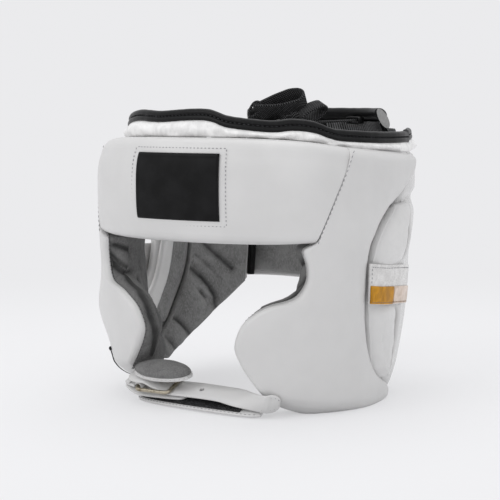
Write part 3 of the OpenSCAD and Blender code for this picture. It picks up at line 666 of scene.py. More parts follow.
def wrinkled_leather(name, color):
    """Thin soft white leather that is drawn into small folds, with painted shade in the fold hollows, and painted
    lighter than the other leather.
    """
    f = Finish(name, Specular_IOR_Level=0.5, Coat_Weight=0.12, Coat_Roughness=0.3)
    folds = f.noise(9, 4, 0.6, stretch=(1.0, 1.0, 0.45), warp=1.2)
    # Painted shade and light: darker where the folds sink, and 1.2 to 1.42 times the leather's colour overall.
    tone = f.blend(folds.between(0.32, 0.6), shade(color, 1.2), shade(color, 1.42))
    normal = f.bump(folds, 1.5, 0.5, f.bump(f.cells(0.9), 0.05, 0.2))
    return f.done(tone, f.noise(6, 3) * 0.18 + 0.26, normal)


def suede(name, color, light):
    """Napped suede: short fibres, cloudy nap, painted shade in its sewn hollows and creases, and ridges lightened as
    wear and as painted highlight.
    """
    f = Finish(name, Sheen_Weight=0.08, Sheen_Roughness=0.5, Specular_IOR_Level=0.1)
    f.shader.inputs["Sheen Tint"].default_value = shade(light, 1.2)
    nap = f.noise(17, 4, 0.62, warp=1.5)
    fibre = f.noise(0.9, 3, 0.7, stretch=(1, 1, 0.4))
    tone = f.blend(nap.between(0.3, 0.72), color, light)
    tone = f.blend(fibre.between(0.35, 0.75), tone, shade(light, 1.15))
    # Painted shade: the hollows kept in the cloth layer are darkened.
    tone = f.blend(f.cloth(2).between(0.1, 1.05) * 0.8, tone, shade(color, 0.2))
    ridges = f.ridges()
    # Painted shade: creases, found by pointiness, are darkened.
    tone = f.blend(ridges.between(0.38, 0.49) * 0.4 + 0.6, shade(color, 0.4), tone)
    # Ridges, found by pointiness, are lightened: partly wear, partly painted highlight.
    tone = f.blend(ridges.between(0.51, 0.58) * 0.4, tone, shade(light, 1.4))
    normal = f.bump(fibre, 0.3, 0.6, f.bump(nap, 0.8, 0.35))
    return f.done(tone, fibre * 0.1 + 0.85, normal)


def black_leather(name, color, rough):
    """Glossy black binding leather with a fine grain and dull scuffs."""
    f = Finish(name, Specular_IOR_Level=0.17)
    scuff = f.noise(7, 5, 0.65)
    tone = f.blend(scuff.between(0.55, 0.8), shade(color, 0.7), (0.022, 0.022, 0.023))
    normal = f.bump(f.cells(0.8), 0.08, 0.4, f.bump(f.noise(5, 3), 0.5, 0.35))
    return f.done(tone, scuff * 0.3 + (rough - 0.1), normal)


def webbing(name, color):
    """Flat woven tape: ribs along it, crossed by the weft, with painted highlights on the weave's crests, and edges
    lightened as wear and as painted highlight.
    """
    f = Finish(name, Specular_IOR_Level=0.15, Sheen_Weight=0.03, Sheen_Roughness=0.4)
    weave = f.wave(0, 2.2) * f.wave(1, 1.8) * 0.5 + 0.5
    fluff = f.noise(2.2, 3, 0.7)
    # Painted highlight: the crests of the weave are lightened.
    tone = f.blend(weave ** 4 * fluff.between(0.1, 0.6), shade(color, 0.5), (0.2, 0.2, 0.205))
    # Edges, found by pointiness, are lightened: partly wear, partly painted highlight.
    tone = f.blend(f.ridges().between(0.64, 0.82) * 0.5, tone, (0.1, 0.1, 0.104))
    normal = f.bump(weave, 0.35, 0.8, f.bump(fluff, 0.2, 0.3))
    return f.done(tone, fluff * 0.1 + 0.78, normal)


def ribbed_elastic(name, color):
    """Flat elastic with raised ribs across it and a knitted ground; the raised ribs are painted lighter, a painted
    highlight.
    """
    f = Finish(name, Specular_IOR_Level=0.25)
    rib = f.wave(1, 2.2) * 0.5 + 0.5
    knit = f.wave(0, 1.2) * 0.5 + 0.5
    # Painted highlight: the raised ribs and knit are lightened.
    tone = f.blend(rib * (knit * 0.4 + 0.6), shade(color, 0.8), (0.27, 0.27, 0.275))
    return f.done(tone, knit * 0.15 + 0.62, f.bump(rib + knit * 0.4, 0.4, 0.9))


def hook_tape(name, color):
    """Hook side of a fastening tape: a field of tiny stems, their tops painted lighter as a painted highlight."""
    f = Finish(name, Specular_IOR_Level=0.3)
    stems = f.cells(0.7)
    # Painted highlight: the tops of the stems are lightened.
    tone = f.blend(stems.between(0.1, 0.55), (0.07, 0.07, 0.075), shade(color, 0.6))
    return f.done(tone, stems * 0.3 + 0.65, f.bump(1 - stems, 0.4, 0.9))


def film(name, color, dark, rough, coat=0.25):
    """Glossy foil or clear film sealed over leather, with ripples and small scratches, the ripples painted darker in
    their hollows as painted shade.
    """
    f = Finish(name, Coat_Weight=coat, Coat_Roughness=0.1, Specular_IOR_Level=0.1 + 1.2 * coat)
    wave = f.noise(7, 3, 0.5, warp=0.8)
    scratch = f.noise(3, 5, 0.7, stretch=(1, 1, 9))
    # Painted shade: the ripples' hollows take the dark colour.
    tone = f.blend(wave.between(0.35, 0.68), dark, color)
    return f.done(tone, scratch * 0.25 + (rough - 0.1), f.bump(wave, 0.5, 0.5))


def patch_rubber(name, color):
    """Bare black patch: satin, with a fine pressed texture."""
    f = Finish(name, Specular_IOR_Level=0.12)
    cloud = f.noise(13, 3)
    tone = f.blend(cloud.between(0.35, 0.7), shade(color, 0.5), (0.009, 0.009, 0.0095))
    normal = f.bump(f.cells(1.1), 0.07, 0.35, f.bump(cloud, 0.4, 0.15))
    return f.done(tone, cloud * 0.16 + 0.36, normal)


def thread(name, color):
    """Twisted sewing thread."""
    f = Finish(name, Specular_IOR_Level=0.3)
    twist = f.noise(0.8, 2, 0.6)
    tone = f.blend(twist, shade(color, 0.7), shade(color, 1.25))
    return f.done(tone, twist * 0.2 + 0.65, f.bump(twist, 0.12, 0.5))


def plated_steel(name, color):
    """Dull plated wire with fine scratches and darker spots."""
    f = Finish(name, Metallic=1.0)
    spot = f.noise(3.5, 4, 0.65)
    scratch = f.noise(1.2, 3, 0.6, stretch=(1, 8, 8))
    tone = f.blend(spot.between(0.48, 0.72), color, (0.16, 0.13, 0.09))
    return f.done(tone, scratch * 0.3 + 0.2, f.bump(scratch, 0.05, 0.3))


made_finishes = {}


def finish(key):
    """The named finish, made once from the colours in the panel."""
    if key not in made_finishes:
        c = bpy.context.scene.headguard_colours
        make = {
            "leather": lambda: white_leather("White leather", c.leather, 0.36),
            "leather_rear": lambda: white_leather("White leather soft", c.leather, 0.26, 2.2),
            # The ear rolls' leather is glossier, and its colour is painted 6 percent lighter than the leather: painted
            # light.
            "leather_roll": lambda: white_leather("White leather glossy", shade(c.leather, 1.06), 0.19, 2),
            # The ear roll's inner edge is the leather painted 1.5 times as light: painted light inside the guard.
            "leather_edge_painted_lighter": lambda: white_leather("White leather edge painted lighter", shade(c.leather, 1.5), 0.3, 2),
            "collar": lambda: wrinkled_leather("Wrinkled leather", c.leather),
            # One suede in a shaded and a lit copy: the cheeks and chin take the darker copy, the other linings a copy
            # painted 1.75 times as light, as painted light.
            "suede": lambda: suede("Grey suede", c.suede, c.suede_nap),
            "suede_painted_lighter": lambda: suede("Grey suede painted lighter", shade(c.suede, 1.75), shade(c.suede_nap, 1.75)),
            "black": lambda: black_leather("Black leather", c.black, 0.3),
            "web": lambda: webbing("Black webbing", c.black),
            "elastic": lambda: ribbed_elastic("Ribbed elastic", c.black),
            "hook": lambda: hook_tape("Hook tape", c.black),
            "gold": lambda: film("Gold foil", c.gold, (0.36, 0.16, 0.005), 0.3, 0.02),
            "window": lambda: film("Clear film", (0.68, 0.56, 0.48), (0.52, 0.41, 0.33), 0.2, 0.15),
            "tab": lambda: film("Tab vinyl", (0.67, 0.66, 0.65), (0.56, 0.55, 0.54), 0.25),
            "patch": lambda: patch_rubber("Patch", c.black),
            "thread": lambda: thread("Grey thread", (0.3, 0.3, 0.31)),
            "pale_thread": lambda: thread("Pale thread", (0.5, 0.49, 0.48)),
            "dark_thread": lambda: thread("Dark thread", (0.06, 0.06, 0.065)),
            "brown_thread": lambda: thread("Brown thread", (0.3, 0.2, 0.13)),
            "steel": lambda: plated_steel("Plated steel", c.steel),
        }
        made_finishes[key] = make[key]()
    return made_finishes[key]


# ---------------------------------------------------------------- panel outlines

BROW_SIDE, BROW_TOP = 50.5, 67.5  # half angles of the brow pad at its bottom corners and at its top
SEAM = 0.05  # half gap between the brow pad and the cheek pads

# Shares of the cheek's height along its ear edge below the roll: (angle, height share).
CHEEK_LOW = {1: [(105, 0.02), (105, 0.05), (101.5, 0.085), (95.5, 0.13), (90.5, 0.185), (85.5, 0.255)],
             -1: [(90.6, 0.018), (90.7, 0.06), (90.9, 0.115), (90.6, 0.165), (88, 0.21), (85, 0.27)]}
# Face edge up to the point of the cheek: (angle, height share, bow).
CHEEK_FRONT = [(36, 0.055, 8.5), (29.5, 0.13, 5), (23.9, 0.222, 2), (19.8, 0.317, 0), (18, 0.41, 0), (21, 0.53, 0)]
# From there up the eye: (face angle, height share, ear angle, height share).
CHEEK_EYE = [(26.5, 0.6, 82, 0.335), (32.2, 0.64, 79.6, 0.42), (40.5, 0.67, 78, 0.52), (44.8, 0.71, 77.2, 0.62),
             (47.8, 0.79, 77, 0.745), (47.6, 0.875, 77.4, 0.85), (46.2, 0.955, 79, 0.955)]
# Along the brow seam: (share of the seam, ear angle, brow height share, ear rounding).
CHEEK_SEAM = [(0.02, 81.8, 0.04, 9), (0.14, 84.6, 0.15, 9), (0.38, 91, 0.31, 9), (0.6, 99, 0.45, 9),
              (0.8, 106, 0.65, 3), (1, 108.5, 0.81, 3)]

# Bottom of a wing: (angle, height share, bow).
WING_LOW = {1: [(106.2, 0.02, 0), (105.2, 0.065, 0), (97.4, 0.135, 0), (89.4, 0.24, 0)],
            -1: [(91.5, 0.01, 5), (91.8, 0.1, 4), (91.9, 0.185, 2), (97.5, 0.275, 0)]}
WING_FRONT = {1: (95.5, 98.4, 98.6, 98.6, 98.6, 98.6, 99, 102), -1: (103, 107, 110, 111.2, 111.5, 111.5, 107.5, 103.5)}
WING_OVER = {1: (0.09, 0.3), -1: (0.16, 0.34)}
WING_DEPTH, WING_END = 5, 142  # depth of a wing's outer face, and the angle where it ends

# Slices of an ear roll's back: (front angle, height share, rear angle, height share).
ROLL_BACK = {1: [(84.4, 0.39, 92.7, 0.37), (83.6, 0.46, 95.4, 0.46), (84, 0.56, 97.4, 0.56), (84.6, 0.68, 98.1, 0.68),
                 (85, 0.8, 98.1, 0.8), (86.4, 0.92, 98.1, 0.92), (88.8, 1.035, 98.1, 1.035),
                 (91.8, 1.13, 98.3, 1.13)],
             -1: [(87.2, 0.28, 94.6, 0.25), (86, 0.37, 99.9, 0.36), (89.3, 0.47, 104, 0.47),
                  (92.9, 0.575, 107.5, 0.575), (95.5, 0.69, 109.8, 0.69), (97, 0.8, 110.7, 0.8),
                  (98.8, 0.92, 110.9, 0.92), (101.5, 1.05, 110.4, 1.05)]}
ROLL_DEPTH = 13.3  # depth of that back
# Slices of a roll's outer leather: (front angle, height, rear angle, height).
ROLL_FACE = {1: [(91.5, 17, 98, 15.5), (86.4, 26, 99.6, 25), (83.4, 35, 101, 34.5), (82, 44, 102, 44),
                 (80, 56, 103, 56), (79.2, 68, 103.2, 68), (79, 80, 103.2, 80), (79.4, 92, 103.4, 92),
                 (80.8, 104, 103.8, 104), (84.2, 116, 104.5, 116), (90.2, 127, 105, 128), (94.5, 135, 105, 137)],
             -1: [(87.4, 22, 97.5, 19), (85.8, 30, 101, 28), (85.2, 40, 105.5, 40), (88.4, 52, 109.5, 52),
                  (91.6, 64, 112.5, 64), (94.2, 77, 114.6, 77), (95.6, 90, 115.4, 90), (97, 103, 115.6, 103),
                  (99.4, 115, 115.6, 115), (103, 125, 115.6, 126)]}


def brow_panel():
    """Brow pad, from its right end to its left."""
    return Panel(1, [Slice(v * (BROW_SIDE - SEAM), 113.6 + v ** 4, v * (BROW_TOP - 1.2 * SEAM),
                           brow_z(1) - 6 * abs(v) ** 3, 0, 9 - 4.2 * abs(v) ** 3, 10, 0, 0)
                     for v in (-1, -0.68, -0.34, 0, 0.34, 0.68, 1)])


def seam_place(v):
    """Angle and height at a share of the seam between the brow pad and a cheek pad."""
    return BROW_SIDE + v * (BROW_TOP - BROW_SIDE) + SEAM, SEAM_Z - 1.2 + v * 61.2


def cheek_panel(side):
    """Cheek pad, from the chin up past the eye and along the brow seam."""
    rows = [Slice(a, cheek_z(v), b, cheek_z(w), bow, 4.5, 9, 0, 0)
            for (a, v, bow), (b, w) in zip(CHEEK_FRONT, CHEEK_LOW[side])]
    rows += [Slice(a, cheek_z(v), b, cheek_z(w), 0, 4.5, 9, 0, 0) for a, v, b, w in CHEEK_EYE]
    rows += [Slice(*seam_place(v), b, brow_z(w), 0, 0.6, r, 0, 0) for v, b, w, r in CHEEK_SEAM]
    return Panel(side, rows)


def cheek_meet(side, u):
    """Depth at which the suede meets the leather on a cheek's face edge."""
    return 13 - 4 * ease((u - 7) / 3) if side > 0 else 5.2


def wing_panel(side):
    """Rear wing, from the ground up over the ear."""
    front, over, edge = WING_FRONT[side], WING_OVER[side], (5, 5, WING_DEPTH, WING_DEPTH)
    rows = [Slice(a, cheek_z(v), WING_END, cheek_z(w), bow, *edge)
            for (a, v, bow), w in zip(WING_LOW[side], (0.535, 0.59, 0.65, 0.71))]
    ends = (cheek_z(0.78), cheek_z(0.85), cheek_z(0.93), brow_z(0.05), brow_z(0.17))
    rows += [Slice(a, cheek_z(v), WING_END, z, 0, *edge)
             for a, v, z in zip(front, (0.41, 0.52, 0.66, 0.8, 0.92), ends)]
    for a, v, b, w, r in ((front[5], over[0], 153, 0.27, 5), (front[6], over[1], 168, 0.36, 5),
                          (front[7], 0.5, 174, 0.5, 3), (106.7, 0.66, 176, 0.66, 3), (108.9, 0.81, 176, 0.83, 3)):
        rows.append(Slice(a, brow_z(v), b, brow_z(w), 0, r, *edge[1:]))
    return Panel(side, rows)


def wing_front(side, z):
    """Angle of a wing's front edge at a height."""
    rows = wing_panel(side).rows
    for k, n in zip(rows, rows[1:]):
        if z <= n.first_z:
            return k.first_th + (n.first_th - k.first_th) * clamp((z - k.first_z) / (n.first_z - k.first_z))
    return rows[-1].first_th


def roll_panel(side):
    """Back of an ear roll."""
    return Panel(side, [Slice(a, cheek_z(v), b, cheek_z(w), 0, 6.5, 6.5, ROLL_DEPTH, ROLL_DEPTH)
                        for a, v, b, w in ROLL_BACK[side]])


def leather_puff(panel, k, x, length):
    """Slow swell of the stuffing, with puckers beside the sewn edges and a fuller right cheek."""
    p = panel.point(k, x / length, 0)
    swell = 0
    if panel.side < 0 and 3 < p.z < 110:
        th, z = panel.flat(k, x / length)
        swell = 5.2 * bell(z - 52, 22) * bell(th - 62, 19)
    return 0.5 * ripple(p, 45, 1) + 0.35 * math.exp(-min(x, length - x) / 5) * ripple(p, 7, 2) - swell


def pressed(th, z):
    """How far the wing's front is pressed in behind the tab and tucked in above the roll."""
    return (2.4 * bell(z - 78, 24) * bell(th - 108, 12) + 6.2 * bell(z - 136, 4.5) * bell(th - 114, 13)
            + 2.2 * bell(z - 96, 13) * bell(th - 119, 9))


def wing_puff(panel, k, x, length):
    """Slow swell of the wing, with faint puckers and its pressed places."""
    p = panel.point(k, x / length, 0)
    pucker = 0.15 * math.exp(-min(x, length - x) / 5) * ripple(p, 7, 2)
    return 0.5 * ripple(p, 45, 1) + pucker + pressed(*panel.flat(k, x / length))


def roll_skin(side):
    """Outer leather of an ear roll: it bulges over the wing's front edge and is pressed in by the tab."""
    rows, rings, hollows = ROLL_FACE[side], [], []
    last = len(rows) - 1
    for share in shares(110):
        u = share * last
        a, z, b, y = curve_at(rows, u)
        end = min(u, last - u)
        full = math.sqrt(max(1 - (1 - min(end / 1.1, 1)) ** 2, 0))
        tab = bell(max(abs(z - 81.5) - 12, 0), 4.5)
        face = -0.6 + 4.3 * tab - 1.8 * bell(z - 112, 11)
        rest = wing_front(side, z)
        ring, hollow = [], []
        for q in shares(56):
            th, zz = a + q * (b - a), z + q * (y - z)
            p = form(th, zz, 0)
            swell = math.sin(math.pi * clamp(q, 0.02, 0.98)) ** 0.5
            crease = 7 * math.exp(-abs(q - 0.7 - 0.06 * ripple(p, 30, 6)) / 0.045)
            crease += 0.8 * math.exp(-abs(q - 0.3 - 0.1 * ripple(p, 20, 2)) / 0.03) * ease((20 - abs(z - 50)) / 20)
            crease *= 1 - tab
            dents = (0.9 * ripple((p.x, p.y, p.z * 0.6), 12, 4) + 0.5 * ripple(p, 5, 9)) * (1 - 0.8 * tab)
            sunk = 4.7 + pressed(th, zz) if th > rest else 6.5
            d = sunk - (sunk - face) * swell * full + (crease + dents) * full * math.sin(math.pi * q)
            ring.append(side_form(side, th, zz, min(d, sunk)))
            # The crease's depth is kept as the mask for painted shade.
            hollow.append(min(crease * full / 6, 1))
        lap = clamp((rest - 0.4 - a) / (b - a), 0.06)
        back = [side_form(side, a + q * (b - a), z + q * (y - z), 4.75 + pressed(a + q * (b - a), z))
                for q in (1, lap + 0.6 * (1 - lap), lap + 0.08 * (1 - lap))]
        back += [side_form(side, a + q * lap * (b - a), z + q * lap * (y - z), 12.8 if end > 0.4 else 9)
                 for q in (0.99, 0.75, 0.5, 0.25, 0.03)]
        rings.append(ring + back)
        hollows.append(hollow + [0] * len(back))
    return loft(rings, hollows=hollows)


# ---------------------------------------------------------------- properties

def colour(name, text, value):
    """Colour that a user can change."""
    return bpy.props.FloatVectorProperty(name=name, description=text, subtype="COLOR", size=3, min=0, max=1,
                                         default=value)


def size(name, text, value, low, high):
    """Length in millimetres that a user can change."""
    return bpy.props.FloatProperty(name=name, description=text + ", in millimetres", default=value, min=low, max=high)


class HeadguardColours(bpy.types.PropertyGroup):
    """Colours of the headguard's materials."""

    leather: colour("Leather", "White coated leather", (0.585, 0.58, 0.575))
    suede: colour("Suede", "Grey suede lining", (0.108, 0.107, 0.106))
    suede_nap: colour("Suede nap", "Brushed, lighter suede", (0.175, 0.174, 0.172))
    black: colour("Black", "Bindings, tapes and laces", (0.01, 0.01, 0.0105))
    gold: colour("Gold", "Foil strip of the ear tabs", (0.54, 0.25, 0.008))
    steel: colour("Steel", "Buckle wire", (0.42, 0.38, 0.3))


class HeadguardSizes(bpy.types.PropertyGroup):
    """Sizes of the parts that only the looks have."""

    stitch_pitch: size("Stitch pitch", "Distance between two stitches", 3.3, 2, 5)
    stitch_length: size("Stitch length", "Length of one stitch", 2.1, 1, 4)
    lining_rise: size("Lining rise", "How far the stuffed suede stands off the pads", 2.4, 1, 4)


# ---------------------------------------------------------------- operators

class HEADGUARD_OT_brow(bpy.types.Operator):
    """Brow pad with its suede back"""
    bl_idname = "headguard.brow"
    bl_label = "Brow pad"
    bl_options = {"REGISTER", "UNDO"}

    seams = [([(-48, 122), (-20, 121), (0, 121), (20, 121), (48, 122)], 3, 1.4)]

    def execute(self, context):
        sizes = context.scene.headguard_sizes
        panel = brow_panel()
        leather = pad(panel, 22.9, 22, 0.07, [0, 0.003, 0.008, 0.02], 0.6, 0.6, puff=leather_puff)
        finished("brow_pad_leather", leather, "leather", "white_leather", "brow_pad", fill=0.9)
        back = lining(panel, 23.2, 30, 0.08, 0.1, 0.1, sizes.lining_rise, self.seams)
        finished("brow_pad_suede", back, "suede_painted_lighter", "grey_suede", "brow_lining", fill=0.5)
        return {"FINISHED"}


class HEADGUARD_OT_cheeks(bpy.types.Operator):
    """Cheek pads and the suede that folds over their face edge"""
    bl_idname = "headguard.cheeks"
    bl_label = "Cheek pads"
    bl_options = {"REGISTER", "UNDO"}

    creases = [([(50, 82), (40, 80), (29, 78)], 3.2, 5.2), ([(44, 97), (37, 94), (30, 92)], 3.2, 5),
               ([(41, 66), (35, 62), (28, 58)], 2.6, 4),
               ([(52, 76), (39, 61), (32, 46), (29, 31), (33, 18)], 3.2, 5.6),
               ([(47, 88), (40, 86), (35, 83)], 2.2, 2.4), ([(60, 20), (58, 60), (60, 110)], 4, 3.6)]
    folds = [([(11.4, 9), (10.9, 19), (10.3, 28)], 2.2, 4.2),
             ([(10, 5.5), (8.8, 15.5), (6.45, 15), (5.2, 13), (4.35, 12), (3.15, 14.5), (1.6, 17)], 2.6, 5.0),
             ([(10.7, 6), (9.9, 12), (9.2, 20)], 1.6, 2.2), ([(6.2, 21), (4.6, 20), (3, 22)], 2.0, 2.6)]

    def execute(self, context):
        sizes = context.scene.headguard_sizes
        near, taper = [0, 0.03, 0.07, 0.12, 0.2, 0.3, 0.45], 13
        for side, word in SIDES:
            panel = cheek_panel(side)
            fuller, nose = (0.8, 0) if side > 0 else (0, 8)

            def meet(u):
                return cheek_meet(side, u)

            leather = pad(panel, 21.9, 26, 0.16, near, 14, 9, lip=8, puff=leather_puff, meet=meet, taper=taper,
                          fuller=fuller, nose=nose)
            finished(word + "_cheek_leather", leather, "leather", "white_leather", word + "_cheek_pad", fill=0.9)
            back = wrapped_lining(panel, 24, 60, 0.09, 0.36, 0.3, sizes.lining_rise + 1.6, self.creases, meet,
                                  taper, self.folds, nose)
            finished(word + "_cheek_suede", back, "suede", "grey_suede", word + "_cheek_lining", fill=0.6)
        return {"FINISHED"}


class HEADGUARD_OT_wings(bpy.types.Operator):
    """Rear wing pads, quilted inside, and the bound edge of the right one"""
    bl_idname = "headguard.wings"
    bl_label = "Rear wings"
    bl_options = {"REGISTER", "UNDO"}

    quilt = [([(109.5, 75), (112, 70), (116.5, 63.3), (120.5, 55.5), (123.2, 48), (124.5, 38)], 3.6, 5.8),
             ([(98, 34), (103.5, 25.4), (110, 14)], 3.6, 5.8), ([(91.2, 21.2), (98, 6.5)], 3.2, 4.8),
             ([(113, 56), (117, 48), (119, 40)], 2.2, 2.4), ([(115, 52), (120, 46), (122, 40)], 1.8, 1.6),
             ([(113, 84), (120, 73), (125, 64)], 3.5, 2.6), ([(111, 104), (122, 86), (133, 70)], 4.5, 5.0),
             ([(112, 130), (126, 112), (140, 98)], 4.5, 5.0)]

    def execute(self, context):
        sizes = context.scene.headguard_sizes
        for side, word in SIDES:
            panel = wing_panel(side)
            leather = pad(panel, 13.9, 30, 0.13, [0, 0.05, 0.12, 0.25], 5, 5, puff=wing_puff)
            finished(word + "_wing_leather", leather, "leather_rear", "white_leather", word + "_wing_pad", fill=0.8)
            back = lining(panel, 14.5, 76, 0.08, 0, 0.2, sizes.lining_rise + 2.4, self.quilt, 5)
            finished(word + "_wing_suede", back, "suede_painted_lighter", "grey_suede", word + "_wing_lining", fill=0.6)
        heights = [cheek_z(0.56 + 0.4 * v) for v in shares(4)]
        band = Panel(-1, [Slice(WING_END + 0.25, z, WING_END + 3.7, z, 0, 1.5, 1.5, 8, 8) for z in heights])
        finished("right_wing_band", pad(band, 12, 6, 0.2, [0, 0.03, 0.08], 1.2, 1.2), "black", "black_leather",
                 "right_wing_binding")
        return {"FINISHED"}


class HEADGUARD_OT_ear_rolls(bpy.types.Operator):
    """Stuffed rolls behind the ear openings"""
    bl_idname = "headguard.ear_rolls"
    bl_label = "Ear rolls"
    bl_options = {"REGISTER", "UNDO"}

    def tall(self, back, u, q):
        """Height of the roll's inner half."""
        end = math.sqrt(max(1 - (1 - min(u, back.last - u, 0.6) / 0.6) ** 2, 0.12))
        return 8.7 * end * math.sin(math.pi * clamp(q, 0.012, 0.99)) ** 0.45

    def execute(self, context):
        for side, word in SIDES:
            back = roll_panel(side)
            suede_rings, edge_rings = [], []
            for u in back.stops(0.1, [0, 0.05, 0.12, 0.25]):
                k = back.slice(u)
                ring = []
                for i, q in enumerate(span(0.2, 1, 24)):
                    soft = 0.6 * ripple(back.point(k, q, 4), 9, 4) * math.sin(math.pi * i / 24)
                    ring.append(back.point(k, q, self.tall(back, u, q) * ease(i / 2.2 + 0.3) + soft))
                suede_rings.append(ring + [back.point(k, 1, 0), back.point(k, 0.2, 0)])
                ring = [back.point(k, q, self.tall(back, u, q) + 0.25 * ripple((u * 9, q * 12, side), 5, 3))
                        for q in (-0.04, 0, 0.015, 0.05, 0.09, 0.13, 0.17, 0.2, 0.22)]
                edge_rings.append(ring + [back.point(k, 0.22, 1), back.point(k, 0.1, 0.2), back.point(k, -0.04, -0.3)])
            finished(word + "_roll_leather", roll_skin(side), "leather_roll", "white_leather", word + "_ear_roll",
                     fill=0.8)
            # The roll's edge takes the leather painted lighter, as painted light.
            finished(word + "_roll_edge", loft(edge_rings), "leather_edge_painted_lighter", "white_leather")
            finished(word + "_roll_suede", loft(suede_rings), "suede_painted_lighter", "grey_suede", word + "_roll_lining",
                     fill=0.8)
        return {"FINISHED"}


class HEADGUARD_OT_closure(bpy.types.Operator):
    """Rear closure with its suede back and its fastening tapes"""
    bl_idname = "headguard.closure"
    bl_label = "Rear closure"
    bl_options = {"REGISTER", "UNDO"}

    start, end, low, high = WING_END + 0.45, 232, 68, 124  # angles and heights of its edges
    lining_start, lining_end, margin = 145, 213.8, 3
    thin_from, thin_over = 188, 24  # angle where it starts to thin, and the degrees that takes

    def row(self, th):
        """Slice of the closure at an angle."""
        s = ease((th - self.thin_from) / self.thin_over)
        edge, taper = 5 - 2.2 * s, 5 * max(0, (th - 222) / 10)
        depth = WING_DEPTH * (1 - s) - 3.9 * s
        return Slice(th, self.low + taper, th, self.high - taper, 0, edge, edge, depth, depth)

    def thick(self, th):
        """Thickness of its padding at an angle."""
        w = clamp((th - self.thin_from) / self.thin_over)
        return 10.9 * (1 - w) + 6 * w

    def execute(self, context):
        sizes = context.scene.headguard_sizes
        panel = Panel(1, [self.row(self.start), self.row(self.end)])
        rings = []
        for th in span(self.start, self.end, 120):
            arc = max(min(th - self.start, self.end - th), 0) * MM_PER_DEGREE
            end = 0 if arc > 3 else 3 - math.sqrt(9 - (3 - arc) ** 2)
            thick = self.thick(th)
            rings.append(pad_ring(panel, self.row(th), thick, 18, min(end, thick * 0.45), 0, leather_puff))
        finished("closure_leather", loft(rings), "leather_rear", "white_leather", "closure_pad", body="closure",
                 fill=0.8)
        rings, length = [], self.high - self.low
        for th in span(self.lining_start, self.lining_end, 90):
            k = self.row(th)
            depth = k.first_depth + self.thick(th) + 0.3
            k = k._replace(first_depth=depth, last_depth=depth)
            xs, inner = span(self.margin, length - self.margin, 24), []
            for x in xs:
                arc = min(th - self.lining_start, self.lining_end - th) * MM_PER_DEGREE
                rise = sizes.lining_rise * (1 - math.exp(-min(x - xs[0], xs[-1] - x, arc) / 4))
                rise -= 1.4 * (bell(x - 20, 1.8) + bell(x - 37, 1.8))
                rise += 0.4 * ripple(panel.point(k, x / length, 8), 11, 3)
                inner.append(panel.point(k, x / length, 1.8 + rise))
            rings.append([panel.point(k, x / length, 0) for x in xs] + inner[::-1])
        finished("closure_suede", loft(rings), "suede_painted_lighter", "grey_suede", "closure_lining", body="closure", fill=0.5)
        for word, depth, body in (("closure_hook", 2.4, "closure"), ("closure_loop", 3.9, "shell")):
            rings = [two_sided(10, lambda f, back: form(th, 75 + 42 * f, depth + 0.8 * back)) for th in range(216, 231)]
            finished(word + "_pile", loft(rings), "hook", "hook_and_loop", word + "_tape", body=body)
        return {"FINISHED"}


class HEADGUARD_OT_collar(bpy.types.Operator):
    """Low crown collar with its double piped edge"""
    bl_idname = "headguard.collar"
    bl_label = "Crown collar"
    bl_options = {"REGISTER", "UNDO"}

    line = [[-121.5, 0.13], [-100, 0.16], [-76, 0.15], [-54, 0.2], [-34, 0.22], [-16, 0.2], [4.5, 0.22], [16, 0.15],
            [34, 0.12], [45, 0.15], [55.5, 0.15], [64, 0.12], [72, 0.115], [92, 0.135], [107, 0.165], [121.5, 0.18]]

    def edge(self, th):
        """Height of the panels' top edge, on which the collar stands."""
        a = abs(th)
        if a < BROW_TOP:
            return brow_z(1) - 6 * (a / BROW_TOP) ** 3
        return brow_z(0.909 - 0.099 * (a - BROW_TOP) / (110 - BROW_TOP) if a < 110 else 0.83)

    def execute(self, context):
        wall, piping, sewn = [], [], []
        for i in range(301):
            th, rise = curve_at(self.line, i / 20)
            low = self.edge(th)
            top = low + rise * BROW_HEIGHT
            d = 18 - 12 * ease((abs(th) - 68) / 36)

            def at(f, back):
                z = low + 0.3 + f * (top - 3.6 - low - 0.3)
                p = form(th, z, d)
                puckers = 2.4 * ripple((p.x, p.y, z * 0.3), 11, 2) + 1.2 * ripple(p, 5, 7)
                return form(th, z, d + 2 * back - math.sin(math.pi * f) * (2 + puckers))

            wall.append(two_sided(8, at))
            r = 2.15 + 0.15 * ripple(form(th, top, d), 5, 1)
            piping.append([form(th, top + centre + r * sind(a), d + 1 - r * cosd(a))
                           for centre, first in ((1.8, -60), (-1.8, 120)) for a in range(first, first + 301, 30)])
            sewn.append((form(th, top, d - 0.2), outward(1, th, top)))
        finished("collar_leather", loft(wall), "collar", "white_leather", "crown_collar")
        finished("collar_piping", loft(piping), "black", "black_leather", "crown_binding")
        finished("collar_stitches", stitches([sewn], 3.0, 2.3, 0.6, 0.5), "dark_thread", "black_leather")
        return {"FINISHED"}


